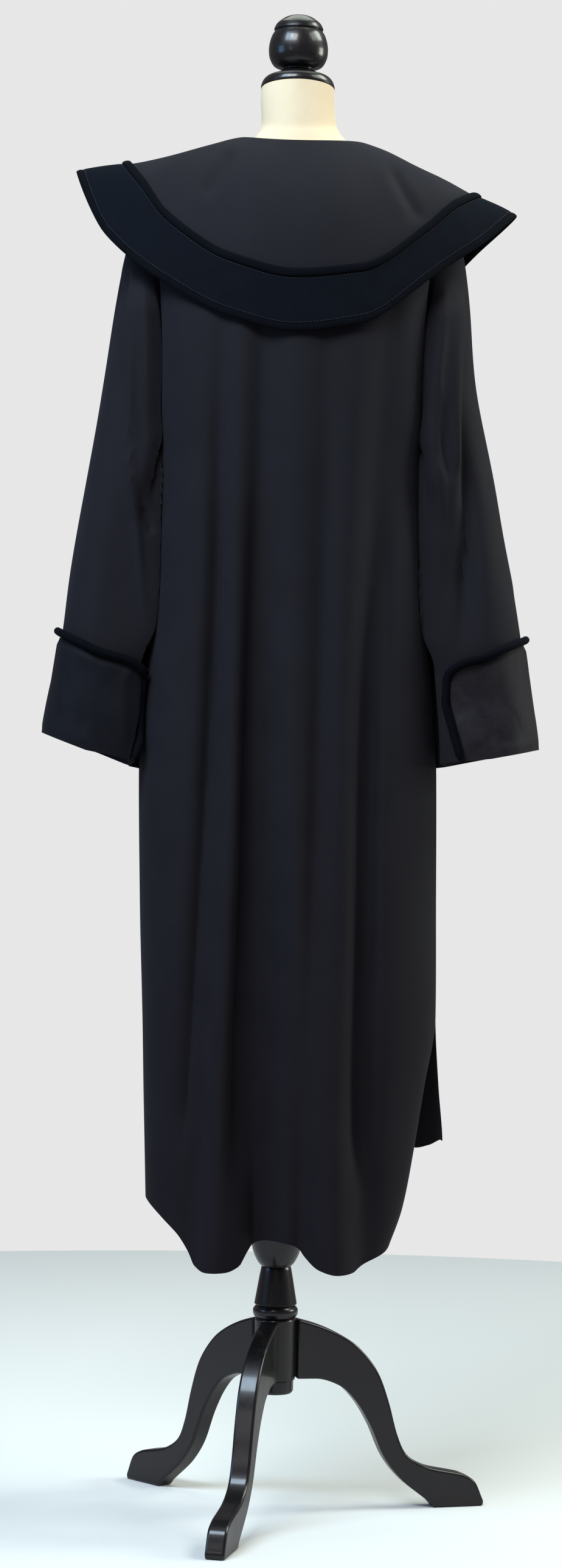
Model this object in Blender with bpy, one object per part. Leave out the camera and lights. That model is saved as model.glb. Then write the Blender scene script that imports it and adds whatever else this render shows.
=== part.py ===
"""Judicial robe with a velvet-banded cape collar, worn by a limbless dress form on a turned stand.

Metres, +Z up. The robe's front faces -Y and its back +Y. The wearer's left is +X. Each piece is first
worked out about the stand's column and then moved, so that the footprint's middle is the origin.
"""
from collections import namedtuple
from math import cos, hypot, pi, radians, sin, sqrt

import bmesh
import bpy
import numpy as np
from mathutils import Matrix, Vector

# Cloth and seams
ROBE_WALL = 0.0016
COLLAR_WALL = 0.0020
VELVET_WALL = 0.0015
SEAM_GAP = 0.0003
LAY_GAP = 0.0006
ROLL_HALF_WIDTH = 0.0055
ROLL_HALF_HEIGHT = 0.0032
ROLL_SIDES = 8
PIPING_RADIUS = 0.0036
CORD_GAP = 0.0012
EDGE_ROLL_GAP = 0.0009

# Robe body: shoulder seam, armhole and side seam
NECK_SIDE = (0.074, 1.6005)
NECK_SHIFT = -0.007
SHOULDER_TIP = (0.178, 1.540)
UNDERARM = (0.156, 1.235)
ARMHOLE_DEPTH = 0.062
UNDERARM_LIFT = 0.020
ARMHOLE_HOLLOW = 0.016
HOLLOW_POWER = 1.5
SHOULDER_PINCH = 0.030
PINCH_SPREAD = 0.60
NAPE = (0.058, 1.5965)
THROAT = (0.070, 1.548)
YOKE_DROP_BACK = 0.052
YOKE_DROP_FRONT = 0.044
FRONT_LAP = 0.016
FRONT_LAP_LIFT = 0.0034
FRONT_LAP_EASE = 0.030
FRONT_LAP_FLAT = 0.002
SKIRT_SQUARE = 0.20
FOLD_SIDEWAYS = 0.60
FOLD_END_POWER = 0.50
HEM_POWER = 3

# Grid of the cloth, in steps
SHOULDER_STEPS = 3
NECK_SHIFT_STEPS = 5
PINCH_STEPS = 4
ARMHOLE_STEPS = 8
SKIRT_STEPS = 12
BACK_COLUMNS = 40
FRONT_COLUMNS = 14
SLEEVE_STEPS = 12
CUFF_STEPS = 2
COLLAR_COLUMNS = 40

# Sleeve and cuff
CUFF_START = 0.80
CUFF_SPREAD = radians(150)
CUFF_CORNER = 0.026
CUFF_LENGTH = 0.105
CUFF_REACH = 0.075
SLEEVE_RUN_POWER = 1.1
SLEEVE_HEAD_RUN = 0.30
SLEEVE_LEAN = 0.030
SLEEVE_LEAN_RUNS = (0.02, 0.14)
SLEEVE_LEAN_HEIGHTS = (1.260, 1.215)
SLEEVE_CLEAR = 0.0040
SLEEVE_CUFF_CLEAR = 0.0155
SLEEVE_CLEAR_RUNS = (0.62, 0.78)
SLEEVE_INNER_SQUARE = 0.50
SLEEVE_SQUARE_ENDS = (0.82, 0.66)
PIPING_TOP_CLEAR = 1.42
PIPING_END_CLEAR = 1.14
PIPING_END_RUNS = (0.86, 0.985)
PIPING_END_STEPS = 4

# Dress form and stand
FORM_COLUMNS = 32
TURNED_SIDES = 20
POLE_RADIUS = 0.016
LEG_THICKNESS = 0.0232
LEG_EDGE_ROUND = 0.002
LEG_ROUND_ANGLE = radians(60)
NECK_CAP_SLOPE = 0.10
NECK_CAP_FLANGE = (0.0225, 0.0430)
SHARP_ANGLE = radians(40)
MERGE_DISTANCE = 1e-6

# Profiles of the body, from the neck down: height, then how far the cloth stands from the column
Profile = namedtuple("Profile", "height reach")
BACK_PROFILE = [
    Profile(1.5965, 0.058), Profile(1.575, 0.084), Profile(1.540, 0.104), Profile(1.480, 0.121),
    Profile(1.400, 0.132), Profile(1.280, 0.134), Profile(1.100, 0.128), Profile(0.900, 0.124),
    Profile(0.620, 0.125), Profile(0.318, 0.124),
]
FRONT_PROFILE = [
    Profile(1.5480, 0.070), Profile(1.520, 0.095), Profile(1.470, 0.114), Profile(1.400, 0.126),
    Profile(1.280, 0.125), Profile(1.100, 0.121), Profile(0.900, 0.123), Profile(0.620, 0.130),
    Profile(0.430, 0.134),
]

# Side seam: half width of the robe on the wearer's left and right, at the back and at the front
Side = namedtuple("Side", "height left_back right_back left_front right_front back_y front_y")
SIDES = [
    Side(1.235, 0.1560, 0.1560, 0.1560, 0.1560, 0.000, 0.000),
    Side(1.150, 0.1575, 0.1580, 0.1575, 0.1580, 0.000, 0.000),
    Side(1.070, 0.1600, 0.1620, 0.1600, 0.1620, 0.000, 0.000),
    Side(0.983, 0.1670, 0.1690, 0.1670, 0.1690, 0.000, 0.000),
    Side(0.900, 0.1705, 0.1750, 0.1705, 0.1750, 0.000, 0.000),
    Side(0.720, 0.1665, 0.1783, 0.1665, 0.1783, 0.000, 0.000),
    Side(0.585, 0.1610, 0.1803, 0.1610, 0.1803, 0.000, 0.000),
    Side(0.505, 0.1580, 0.1680, 0.1560, 0.1860, 0.010, -0.016),
    Side(0.434, 0.1550, 0.1570, 0.1520, 0.1930, 0.020, -0.032),
    Side(0.364, 0.1520, 0.1440, 0.1500, 0.1950, 0.030, -0.036),
    Side(0.310, 0.1500, 0.1240, 0.1490, 0.1960, 0.036, -0.040),
]

# Soft folds: place across the panel at chest, hip and hem, half widths, and how far the cloth moves out
Fold = namedtuple("Fold", "chest_x hip_x hem_x left_width right_width chest_out hip_out hem_out")
BACK_FOLDS = [
    Fold(0.079, 0.081, 0.102, 0.014, 0.014, -0.0040, -0.0070, -0.0080),
    Fold(0.062, 0.060, 0.070, 0.016, 0.016, 0.0020, 0.0060, 0.0170),
    Fold(0.035, 0.028, 0.028, 0.014, 0.024, -0.0050, -0.0160, -0.0330),
    Fold(0.000, -0.008, -0.060, 0.020, 0.026, 0.0020, 0.0060, 0.0180),
    Fold(-0.038, -0.036, -0.030, 0.014, 0.016, -0.0025, -0.0060, -0.0080),
    Fold(-0.076, -0.064, -0.070, 0.016, 0.016, 0.0020, 0.0050, 0.0060),
    Fold(-0.116, -0.093, -0.104, 0.016, 0.016, -0.0040, -0.0120, -0.0120),
]
FRONT_FOLDS = [
    Fold(0.110, 0.112, 0.120, 0.016, 0.018, -0.0030, -0.0070, -0.0120),
    Fold(0.078, 0.082, 0.088, 0.020, 0.018, 0.0020, 0.0070, 0.0180),
    Fold(0.050, 0.052, 0.054, 0.013, 0.015, -0.0030, -0.0090, -0.0220),
    Fold(0.022, 0.024, 0.024, 0.014, 0.014, 0.0010, 0.0040, 0.0100),
    Fold(-0.046, -0.050, -0.056, 0.018, 0.014, -0.0030, -0.0080, -0.0200),
    Fold(-0.080, -0.086, -0.092, 0.018, 0.020, 0.0020, 0.0070, 0.0190),
    Fold(-0.112, -0.118, -0.128, 0.016, 0.016, -0.0030, -0.0070, -0.0110),
]
FOLD_HEIGHTS = (1.42, 0.95, 0.32)
FOLD_FADE = (1.36, 1.50)

# Hem: its height at each share of the half width, 1 at the left side seam and -1 at the right one
Hem = namedtuple("Hem", "share height")
BACK_HEM = [
    Hem(1.00, 0.3740), Hem(0.85, 0.3540), Hem(0.76, 0.3400), Hem(0.68, 0.3200), Hem(0.61, 0.3040),
    Hem(0.50, 0.2985), Hem(0.38, 0.2990), Hem(0.29, 0.3050), Hem(0.25, 0.3170), Hem(0.20, 0.3280),
    Hem(0.04, 0.3340), Hem(-0.12, 0.3310), Hem(-0.20, 0.3260), Hem(-0.26, 0.3170), Hem(-0.37, 0.3040),
    Hem(-0.50, 0.2990), Hem(-0.64, 0.3000), Hem(-0.73, 0.3040), Hem(-0.95, 0.3180), Hem(-1.00, 0.3240),
]
FRONT_HEM = [
    Hem(1.00, 0.4320), Hem(0.80, 0.4325), Hem(0.59, 0.4210), Hem(0.36, 0.4365), Hem(0.16, 0.4240),
    Hem(0.00, 0.4280), Hem(-0.29, 0.4360), Hem(-0.47, 0.4220), Hem(-0.66, 0.4260), Hem(-0.85, 0.4210),
    Hem(-0.93, 0.4260), Hem(-1.00, 0.4370),
]

# Sleeve sections from the armhole down: upper line, under line, half depth and place front to back
Sleeve = namedtuple("Sleeve", "run outer_x outer_z inner_x inner_z half_depth centre_y square")
SLEEVE_LEFT = [
    Sleeve(0.00, 0.1780, 1.5400, 0.1560, 1.235, 0.062, 0.000, 1.00),
    Sleeve(0.08, 0.1990, 1.4700, 0.1605, 1.214, 0.066, 0.000, 0.98),
    Sleeve(0.28, 0.2220, 1.3300, 0.1620, 1.150, 0.071, -0.001, 0.94),
    Sleeve(0.46, 0.2410, 1.2010, 0.1640, 1.085, 0.075, -0.003, 0.92),
    Sleeve(0.64, 0.2585, 1.0900, 0.1680, 1.030, 0.079, -0.006, 0.90),
    Sleeve(0.80, 0.2660, 1.0230, 0.1730, 0.975, 0.082, -0.008, 0.90),
    Sleeve(1.00, 0.2845, 0.9110, 0.1770, 0.871, 0.084, -0.010, 0.92),
]
SLEEVE_RIGHT = [
    Sleeve(0.00, 0.1780, 1.5400, 0.1560, 1.235, 0.062, 0.000, 1.00),
    Sleeve(0.08, 0.2005, 1.4680, 0.1605, 1.214, 0.066, 0.000, 0.98),
    Sleeve(0.28, 0.2155, 1.3370, 0.1630, 1.150, 0.071, -0.001, 0.94),
    Sleeve(0.46, 0.2445, 1.1870, 0.1660, 1.085, 0.075, -0.003, 0.92),
    Sleeve(0.64, 0.2685, 1.0700, 0.1705, 1.030, 0.079, -0.006, 0.90),
    Sleeve(0.80, 0.2765, 1.0240, 0.1755, 0.975, 0.082, -0.008, 0.90),
    Sleeve(1.00, 0.2950, 0.9010, 0.1810, 0.8775, 0.084, -0.010, 0.92),
]

# Cape collar by azimuth, 0 at the back and positive towards the wearer's left, in degrees: the
# velvet band's inner edge, the collar's outer edge, and how far the neck part bows out from straight
Cape = namedtuple("Cape", "azimuth band_reach band_z edge_reach edge_z bow")
CAPE = [
    Cape(-180, 0.1419, 1.4412, 0.1511, 1.3908, 0.022),
    Cape(-150, 0.1523, 1.4501, 0.1620, 1.4025, 0.020),
    Cape(-120, 0.1815, 1.4941, 0.1947, 1.4564, 0.020),
    Cape(-105, 0.2035, 1.5226, 0.2256, 1.5033, 0.009),
    Cape(-90, 0.2185, 1.5438, 0.2515, 1.5290, 0.002),
    Cape(-75, 0.1985, 1.5270, 0.2215, 1.4923, 0.010),
    Cape(-60, 0.1805, 1.4912, 0.1932, 1.4521, 0.019),
    Cape(-30, 0.1548, 1.4364, 0.1646, 1.3892, 0.028),
    Cape(0, 0.1424, 1.4278, 0.1521, 1.3774, 0.030),
    Cape(30, 0.1514, 1.4470, 0.1622, 1.3963, 0.026),
    Cape(60, 0.1775, 1.5017, 0.1974, 1.4483, 0.018),
    Cape(75, 0.1928, 1.5510, 0.2246, 1.4977, 0.008),
    Cape(90, 0.2060, 1.5765, 0.2495, 1.5700, -0.003),
    Cape(120, 0.1861, 1.5062, 0.1996, 1.4667, 0.018),
    Cape(150, 0.1523, 1.4536, 0.1619, 1.4059, 0.020),
    Cape(180, 0.1419, 1.4412, 0.1511, 1.3908, 0.022),
]
CAPE_NECK_LIFT = 0.0032
CAPE_SIDE_LIFT = 0.0042
CAPE_SIDE_TILT = 0.0025
CAPE_NECK_PROUD = 0.0026
CAPE_BOW_POWER = 0.9
CAPE_OPENING = radians(2.0)
CAPE_NECK_ROWS = 4
CAPE_BAND_ROWS = 2

# Dress form: rings from the top of the neck down, with side, back and front reach and heights, and
# how fast each ring falls away from its sides: 1 is straight, more is rounder
Ring = namedtuple("Ring", "side side_z back back_z front front_z fall")
FORM_RINGS = [
    Ring(0.0430, 1.6717, 0.0430, 1.6760, 0.0430, 1.6674, 1.0),
    Ring(0.0432, 1.6470, 0.0432, 1.6480, 0.0432, 1.6400, 2.0),
    Ring(0.0440, 1.6310, 0.0440, 1.6240, 0.0440, 1.6100, 2.0),
    Ring(0.0475, 1.6210, 0.0470, 1.6120, 0.0470, 1.5940, 2.0),
    Ring(0.0560, 1.6110, 0.0510, 1.5990, 0.0510, 1.5770, 1.7),
    Ring(0.0690, 1.5990, 0.0570, 1.5830, 0.0570, 1.5560, 1.4),
    Ring(0.1080, 1.5785, 0.0720, 1.5600, 0.0700, 1.5320, 1.2),
    Ring(0.1430, 1.5574, 0.0830, 1.5380, 0.0830, 1.5100, 1.2),
    Ring(0.1690, 1.5438, 0.0920, 1.5120, 0.0930, 1.4860, 1.2),
    Ring(0.1690, 1.5250, 0.0980, 1.4850, 0.0990, 1.4600, 1.2),
    Ring(0.1580, 1.4900, 0.1020, 1.4500, 0.1030, 1.4300, 1.4),
    Ring(0.1400, 1.4200, 0.1050, 1.3900, 0.1080, 1.3800, 2.0),
    Ring(0.1280, 1.3000, 0.0950, 1.2900, 0.1020, 1.2900, 2.0),
    Ring(0.1120, 1.1900, 0.0800, 1.1900, 0.0880, 1.1900, 2.0),
    Ring(0.1320, 1.0700, 0.0930, 1.0700, 0.0930, 1.0700, 2.0),
    Ring(0.1440, 0.9700, 0.1020, 0.9700, 0.0970, 0.9700, 2.0),
    Ring(0.1400, 0.9000, 0.1000, 0.9000, 0.0930, 0.9000, 2.0),
    Ring(0.1320, 0.8720, 0.0930, 0.8720, 0.0860, 0.8720, 2.0),
    Ring(0.1150, 0.8600, 0.0780, 0.8600, 0.0720, 0.8600, 2.0),
]
FORM_SQUARE = 0.92
FORM_SQUARE_RINGS = (5, 10)
FORM_SHIFT = -0.0035
FORM_SHIFT_FROM = (1.660, 1.610)
FORM_SHIFT_UNTIL = (1.560, 1.600)

# Turned pieces: radius and height down each outer side
Turn = namedtuple("Turn", "radius height")
FINIAL_PROFILE = [
    Turn(0.000, 1.7596), Turn(0.0130, 1.7576), Turn(0.0204, 1.7535), Turn(0.0262, 1.7485),
    Turn(0.0290, 1.7430), Turn(0.0288, 1.7416), Turn(0.0272, 1.7410), Turn(0.0308, 1.7359),
    Turn(0.0336, 1.7280), Turn(0.0347, 1.7210), Turn(0.0347, 1.7150), Turn(0.0338, 1.7090),
    Turn(0.0306, 1.7020), Turn(0.0270, 1.6985), Turn(0.0215, 1.6968), Turn(0.0180, 1.6964),
    Turn(0.0180, 1.6948), Turn(0.000, 1.6948),
]
NECK_CAP_PROFILE = [
    Turn(0.000, 1.6945), Turn(0.0172, 1.6945), Turn(0.0210, 1.6928), Turn(0.0293, 1.6887),
    Turn(0.0376, 1.6844), Turn(0.0415, 1.6800), Turn(0.0432, 1.6755), Turn(0.0434, 1.6732),
    Turn(0.0424, 1.6720), Turn(0.000, 1.6720),
]
BULB_PROFILE = [
    Turn(0.000, 0.4300), Turn(0.0200, 0.4300), Turn(0.0260, 0.4180), Turn(0.0310, 0.3900),
    Turn(0.0325, 0.3600), Turn(0.0315, 0.3350), Turn(0.0286, 0.3110), Turn(0.0225, 0.2960),
    Turn(0.0165, 0.2890), Turn(0.000, 0.2890),
]
CONE_PROFILE = [
    Turn(0.000, 0.2887), Turn(0.0165, 0.2887), Turn(0.0180, 0.2860), Turn(0.0250, 0.2460),
    Turn(0.0235, 0.2440), Turn(0.000, 0.2440),
]
BEAD_PROFILE = [
    Turn(0.000, 0.2437), Turn(0.0230, 0.2437), Turn(0.0258, 0.2405), Turn(0.0265, 0.2370),
    Turn(0.0258, 0.2330), Turn(0.0230, 0.2295), Turn(0.000, 0.2295),
]
HUB_PROFILE = [
    Turn(0.000, 0.2292), Turn(0.0225, 0.2292), Turn(0.0243, 0.2275), Turn(0.0243, 0.1570),
    Turn(0.000, 0.1570),
]
PLUG_PROFILE = [
    Turn(0.000, 0.1567), Turn(0.0225, 0.1567), Turn(0.0225, 0.1440), Turn(0.0200, 0.1410),
    Turn(0.000, 0.1410),
]
POLE_PROFILE = [
    Turn(0.000, 0.8597), Turn(POLE_RADIUS, 0.8597), Turn(POLE_RADIUS, 0.4303), Turn(0.000, 0.4303),
]

# Cabriole leg board: outline points of its upper and under edges, from the hub out to the toe
Point = namedtuple("Point", "reach height")
LEG_UPPER = [
    Point(0.0247, 0.2280), Point(0.0550, 0.2186), Point(0.0950, 0.1975), Point(0.1250, 0.1625),
    Point(0.1390, 0.1265), Point(0.1500, 0.0880), Point(0.1610, 0.0655), Point(0.1870, 0.0490),
    Point(0.2320, 0.0385), Point(0.2465, 0.0305), Point(0.2585, 0.0060), Point(0.2580, 0.0000),
]
LEG_UNDER = [
    Point(0.1970, 0.0000), Point(0.1910, 0.0070), Point(0.1540, 0.0365), Point(0.1340, 0.0620),
    Point(0.1160, 0.1010), Point(0.0975, 0.1300), Point(0.0780, 0.1480), Point(0.0500, 0.1570),
    Point(0.0247, 0.1575),
]

# Each leg's azimuth in degrees, 0 at the back and positive towards the wearer's left, and its length
Leg = namedtuple("Leg", "name azimuth length")
LEGS = [Leg("leg_back", 14.0, 1.00), Leg("leg_left", 137.0, 0.97), Leg("leg_right", -105.0, 1.00)]
LEG_CURVE_STEPS = 2

# Finishes: colour, roughness, metallic, sheen
Finish = namedtuple("Finish", "colour roughness metallic sheen")
FINISHES = {
    "wool": Finish((0.017, 0.019, 0.023), 0.82, 0.0, 0.25),
    "satin": Finish((0.022, 0.023, 0.029), 0.45, 0.0, 0.10),
    "velvet": Finish((0.003, 0.005, 0.010), 0.95, 0.0, 0.60),
    "jersey": Finish((0.880, 0.800, 0.620), 0.85, 0.0, 0.15),
    "lacquer": Finish((0.012, 0.012, 0.012), 0.28, 0.0, 0.00),
}


def clear_scene():
    """Remove every object that is there before the build."""
    for old in list(bpy.data.objects):
        bpy.data.objects.remove(old, do_unlink=True)


def make_material(name):
    """Build the Principled material of one sub-part from its finish."""
    finish = FINISHES[name]
    material = bpy.data.materials.new(name)
    material.use_nodes = True
    shader = material.node_tree.nodes["Principled BSDF"]
    shader.inputs["Base Color"].default_value = (*finish.colour, 1.0)
    shader.inputs["Roughness"].default_value = finish.roughness
    shader.inputs["Metallic"].default_value = finish.metallic
    shader.inputs["Sheen Weight"].default_value = finish.sheen
    material.diffuse_color = (*finish.colour, 1.0)
    return material


def smooth_step(low, high, value):
    """Ease from 0 at low to 1 at high."""
    share = np.clip((np.asarray(value, float) - low) / (high - low), 0.0, 1.0)
    return share * share * (3.0 - 2.0 * share)


def smooth_line(knots, values):
    """Return a smooth curve through the values, which swings past none of them, level past its ends."""
    knots = np.asarray(knots, float)
    values = np.asarray(values, float)
    if knots[0] > knots[-1]:
        knots = knots[::-1]
        values = values[::-1]
    steps = np.diff(values) / np.diff(knots)
    before, after = steps[:-1], steps[1:]
    level = before * after <= 0
    inner = np.where(level, 0.0, 2 * before * after / np.where(level, 1.0, before + after))
    slopes = np.concatenate([steps[:1], inner, steps[-1:]])

    def read(place):
        place = np.clip(np.asarray(place, float), knots[0], knots[-1])
        left = np.clip(np.searchsorted(knots, place, side="right") - 1, 0, len(knots) - 2)
        span = knots[left + 1] - knots[left]
        t = (place - knots[left]) / span
        start = (1 + 2 * t) * (1 - t) ** 2 * values[left] + t * (1 - t) ** 2 * span * slopes[left]
        end = t * t * (3 - 2 * t) * values[left + 1] + t * t * (t - 1) * span * slopes[left + 1]
        return start + end

    return read


def column_line(table, knot, value):
    """Read one column of a table as a smooth line over another."""
    return smooth_line([getattr(row, knot) for row in table], [getattr(row, value) for row in table])


def unit(vectors):
    """Scale vectors to length one."""
    return vectors / np.maximum(np.linalg.norm(vectors, axis=-1, keepdims=True), 1e-12)


def grid_normals(grid, closed_round=False):
    """Unit normals of a grid of points; a grid that is closed round wraps along its columns."""
    if closed_round:
        wrapped = np.concatenate([grid[:, -2:], grid, grid[:, :2]], axis=1)
        across = np.gradient(wrapped, axis=1)[:, 2:-2]
    else:
        across = np.gradient(grid, axis=1, edge_order=2)
    down = np.gradient(grid, axis=0, edge_order=2)
    return unit(np.cross(across, down))


def add_object(name, mesh, material):
    """Link a mesh to the scene as one named, smooth shaded object."""
    mesh.materials.append(material)
    mesh.shade_smooth()
    mesh.set_sharp_from_angle(angle=SHARP_ANGLE)
    piece = bpy.data.objects.new(name, mesh)
    bpy.context.scene.collection.objects.link(piece)
    return piece


def mesh_from(name, points, faces):
    """Make a mesh whose faces all point out of its closed body."""
    build = bmesh.new()
    corners = [build.verts.new(point) for point in points]
    for face in faces:
        build.faces.new([corners[index] for index in face])
    bmesh.ops.recalc_face_normals(build, faces=build.faces)
    mesh = bpy.data.meshes.new(name)
    build.to_mesh(mesh)
    build.free()
    return mesh


def cloth_wall(name, near, far, material, closed_round=False):
    """Build a closed wall between two grids of points, its free edges filled in."""
    rows, columns = near.shape[:2]
    size = rows * columns
    points = np.concatenate([near.reshape(-1, 3), far.reshape(-1, 3)])
    spans = columns if closed_round else columns - 1
    faces = []
    for row in range(rows - 1):
        for column in range(spans):
            a = row * columns + column
            b = row * columns + (column + 1) % columns
            c, d = b + columns, a + columns
            faces += [(a, b, c), (a, c, d)]
            faces += [(c + size, b + size, a + size), (d + size, c + size, a + size)]
    rims = [(row * columns + column, row * columns + (column + 1) % columns)
            for row in (0, rows - 1) for column in range(spans)]
    if not closed_round:
        rims += [(row * columns + column, (row + 1) * columns + column)
                 for column in (0, columns - 1) for row in range(rows - 1)]
    faces += [(a, b, b + size, a + size) for a, b in rims]
    return add_object(name, mesh_from(name, points, faces), material)


def round_cord(name, path, radius, material):
    """Make a closed velvet cord of round section along a list of points."""
    curve = bpy.data.curves.new(name, "CURVE")
    curve.dimensions = "3D"
    curve.bevel_depth = radius
    curve.bevel_resolution = 1
    curve.use_fill_caps = True
    spline = curve.splines.new("POLY")
    spline.points.add(len(path) - 1)
    for knot, place in zip(spline.points, path):
        knot.co = (*place, 1.0)
    curve.materials.append(material)
    piece = bpy.data.objects.new(name, curve)
    bpy.context.scene.collection.objects.link(piece)
    return piece


def oval_roll(name, path, across, out, material):
    """Make a closed velvet roll of oval section along a list of points, wide across and low outwards."""
    turns = np.linspace(0.0, 2 * pi, ROLL_SIDES, endpoint=False)[None, :, None]
    rings = path[:, None] + ROLL_HALF_WIDTH * np.cos(turns) * across[:, None]
    rings = rings + ROLL_HALF_HEIGHT * np.sin(turns) * out[:, None]
    faces = []
    for ring in range(len(path) - 1):
        for side in range(ROLL_SIDES):
            a = ring * ROLL_SIDES + side
            b = ring * ROLL_SIDES + (side + 1) % ROLL_SIDES
            faces.append((a, b, b + ROLL_SIDES, a + ROLL_SIDES))
    last = (len(path) - 1) * ROLL_SIDES
    faces += [tuple(range(ROLL_SIDES)), tuple(range(last, last + ROLL_SIDES))]
    return add_object(name, mesh_from(name, rings.reshape(-1, 3), faces), material)


def turned(name, profile, material, sides=TURNED_SIDES):
    """Spin an outer profile, which starts and ends on the axis, into a turned solid."""
    build = bmesh.new()
    corners = [build.verts.new((turn.radius, 0.0, turn.height)) for turn in profile]
    edges = [build.edges.new(pair) for pair in zip(corners, corners[1:])]
    bmesh.ops.spin(build, geom=corners + edges, cent=(0, 0, 0), axis=(0, 0, 1), angle=2 * pi,
                   steps=sides, use_merge=True)
    bmesh.ops.remove_doubles(build, verts=build.verts, dist=MERGE_DISTANCE)
    bmesh.ops.recalc_face_normals(build, faces=build.faces)
    mesh = bpy.data.meshes.new(name)
    build.to_mesh(mesh)
    build.free()
    return add_object(name, mesh, material)


def fold_shift(folds, x, height):
    """How far the folds of a panel move its cloth out, at places across and heights."""
    shift = np.zeros_like(x)
    for fold in folds:
        middle = smooth_line(FOLD_HEIGHTS, (fold.chest_x, fold.hip_x, fold.hem_x))(height)
        out = smooth_line(FOLD_HEIGHTS, (fold.chest_out, fold.hip_out, fold.hem_out))(height)
        width = np.where(x > middle, fold.left_width, fold.right_width)
        shift += out * np.exp(-((x - middle) / width) ** 2)
    return shift * (1.0 - smooth_step(*FOLD_FADE, height))


def hem_line(half):
    """The hem's height at each share of the half width, at the back or the front."""
    return column_line(BACK_HEM if half > 0 else FRONT_HEM, "share", "height")


def edge_rows(side, half):
    """Outline of a body panel's side: shoulder seam, armhole and side seam, with wall directions.

    side is +1 on the wearer's left and -1 on the right; half is +1 at the back and -1 at the front.
    """
    neck = np.array([NECK_SHIFT + side * NECK_SIDE[0], 0.0, NECK_SIDE[1]])
    tip = np.array([side * SHOULDER_TIP[0], 0.0, SHOULDER_TIP[1]])
    points = [neck + (tip - neck) * step / SHOULDER_STEPS for step in range(SHOULDER_STEPS + 1)]
    slope = unit(tip - neck)
    out = [np.array([-slope[2] * side, 0.0, slope[0] * side])] * SHOULDER_STEPS
    out.append(np.array([0.0, 0.0, 1.0]))
    middle_z = (SHOULDER_TIP[1] + UNDERARM[1]) / 2
    half_z = (SHOULDER_TIP[1] - UNDERARM[1]) / 2
    for step in range(1, ARMHOLE_STEPS + 1):
        turn = pi * step / ARMHOLE_STEPS
        across = SHOULDER_TIP[0] + (UNDERARM[0] - SHOULDER_TIP[0]) * step / ARMHOLE_STEPS
        across -= ARMHOLE_HOLLOW * sin(turn) ** HOLLOW_POWER
        forth = half * ARMHOLE_DEPTH * sin(turn)
        points.append(np.array([side * across, forth, middle_z + half_z * cos(turn)]))
        flat = float(smooth_step(pi / 2, pi, turn))
        out.append(unit(np.array([side * flat, half * sin(turn), cos(turn) * (1 - flat)])))
    names = {(1, 1): "left_back", (-1, 1): "right_back", (1, -1): "left_front", (-1, -1): "right_front"}
    width = column_line(SIDES, "height", names[side, half])
    depth = column_line(SIDES, "height", "back_y" if half > 0 else "front_y")
    low = float(hem_line(half)(side))
    for step in range(1, SKIRT_STEPS + 1):
        height = UNDERARM[1] + (low - UNDERARM[1]) * step / SKIRT_STEPS
        points.append(np.array([side * float(width(height)), float(depth(height)), height]))
        out.append(np.array([side, 0.0, 0.0]))
    return np.array(points), np.array(out)


def middle_rows(half):
    """Heights and reach of a panel's middle line, a row for each row of its side outline."""
    reach = column_line(BACK_PROFILE if half > 0 else FRONT_PROFILE, "height", "reach")
    top = NAPE[1] if half > 0 else THROAT[1]
    yoke = top - (YOKE_DROP_BACK if half > 0 else YOKE_DROP_FRONT)
    chest = UNDERARM[1] + UNDERARM_LIFT
    heights = list(np.linspace(top, yoke, SHOULDER_STEPS + 1))
    heights += list(np.linspace(yoke, chest, ARMHOLE_STEPS + 1)[1:])
    heights += list(np.linspace(chest, float(hem_line(half)(0.0)), SKIRT_STEPS + 1)[1:])
    heights = np.array(heights)
    return heights, reach(heights)


def middle_line(rows):
    """Where each row's middle lies across: shifted at the neck, true below the shoulders."""
    return NECK_SHIFT * (1.0 - smooth_step(0, NECK_SHIFT_STEPS, np.arange(rows)))


def row_squareness():
    """How square each row's section is: 1 is an ellipse, less is squarer."""
    rows = SHOULDER_STEPS + ARMHOLE_STEPS + SKIRT_STEPS + 1
    return 1.0 - SKIRT_SQUARE * smooth_step(0, SHOULDER_STEPS + ARMHOLE_STEPS, np.arange(rows))


def shoulder_pinch(turns):
    """How far the cloth by the shoulder tips draws in, so that it runs into the armhole's edge."""
    row = np.arange(len(turns))[:, None]
    past = smooth_step(SHOULDER_STEPS, SHOULDER_STEPS + PINCH_STEPS, row)
    share = smooth_step(0, SHOULDER_STEPS, row) * (1.0 - past)
    away = pi / 2 - np.abs(turns)
    return SHOULDER_PINCH * share * away * np.exp(-(away / PINCH_SPREAD) ** 2)


def panel_rows(half, turns, middle_x, left_edge, right_edge, folds):
    """Points of a body panel: a row for each section, a column for each turn from the middle."""
    heights, reach = middle_rows(half)
    square = row_squareness()[:, None]
    edge = np.where((turns > 0)[..., None], left_edge[:, None], right_edge[:, None])
    sine = np.abs(np.sin(turns)) ** square
    cosine = np.abs(np.cos(turns)) ** square
    x = middle_x[:, None] + (edge[..., 0] - middle_x[:, None]) * sine
    x -= np.sign(turns) * shoulder_pinch(turns)
    y = edge[..., 1] + (half * reach[:, None] - edge[..., 1]) * cosine
    z = edge[..., 2] + (heights[:, None] - edge[..., 2]) * np.cos(turns) ** 2
    shift = fold_shift(folds, x, z) * np.abs(np.cos(turns)) ** FOLD_END_POWER
    skirt = np.zeros(len(heights))
    skirt[-SKIRT_STEPS - 1:] = np.linspace(0, 1, SKIRT_STEPS + 1)
    low = hem_line(half)(np.sign(turns[-1]) * sine[-1])
    z = z + (low - z[-1]) * skirt[:, None] ** HEM_POWER
    x = x + shift * np.sin(turns) * FOLD_SIDEWAYS
    y = y + shift * half * np.cos(turns)
    return np.stack([x, y, z], axis=-1)


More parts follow.
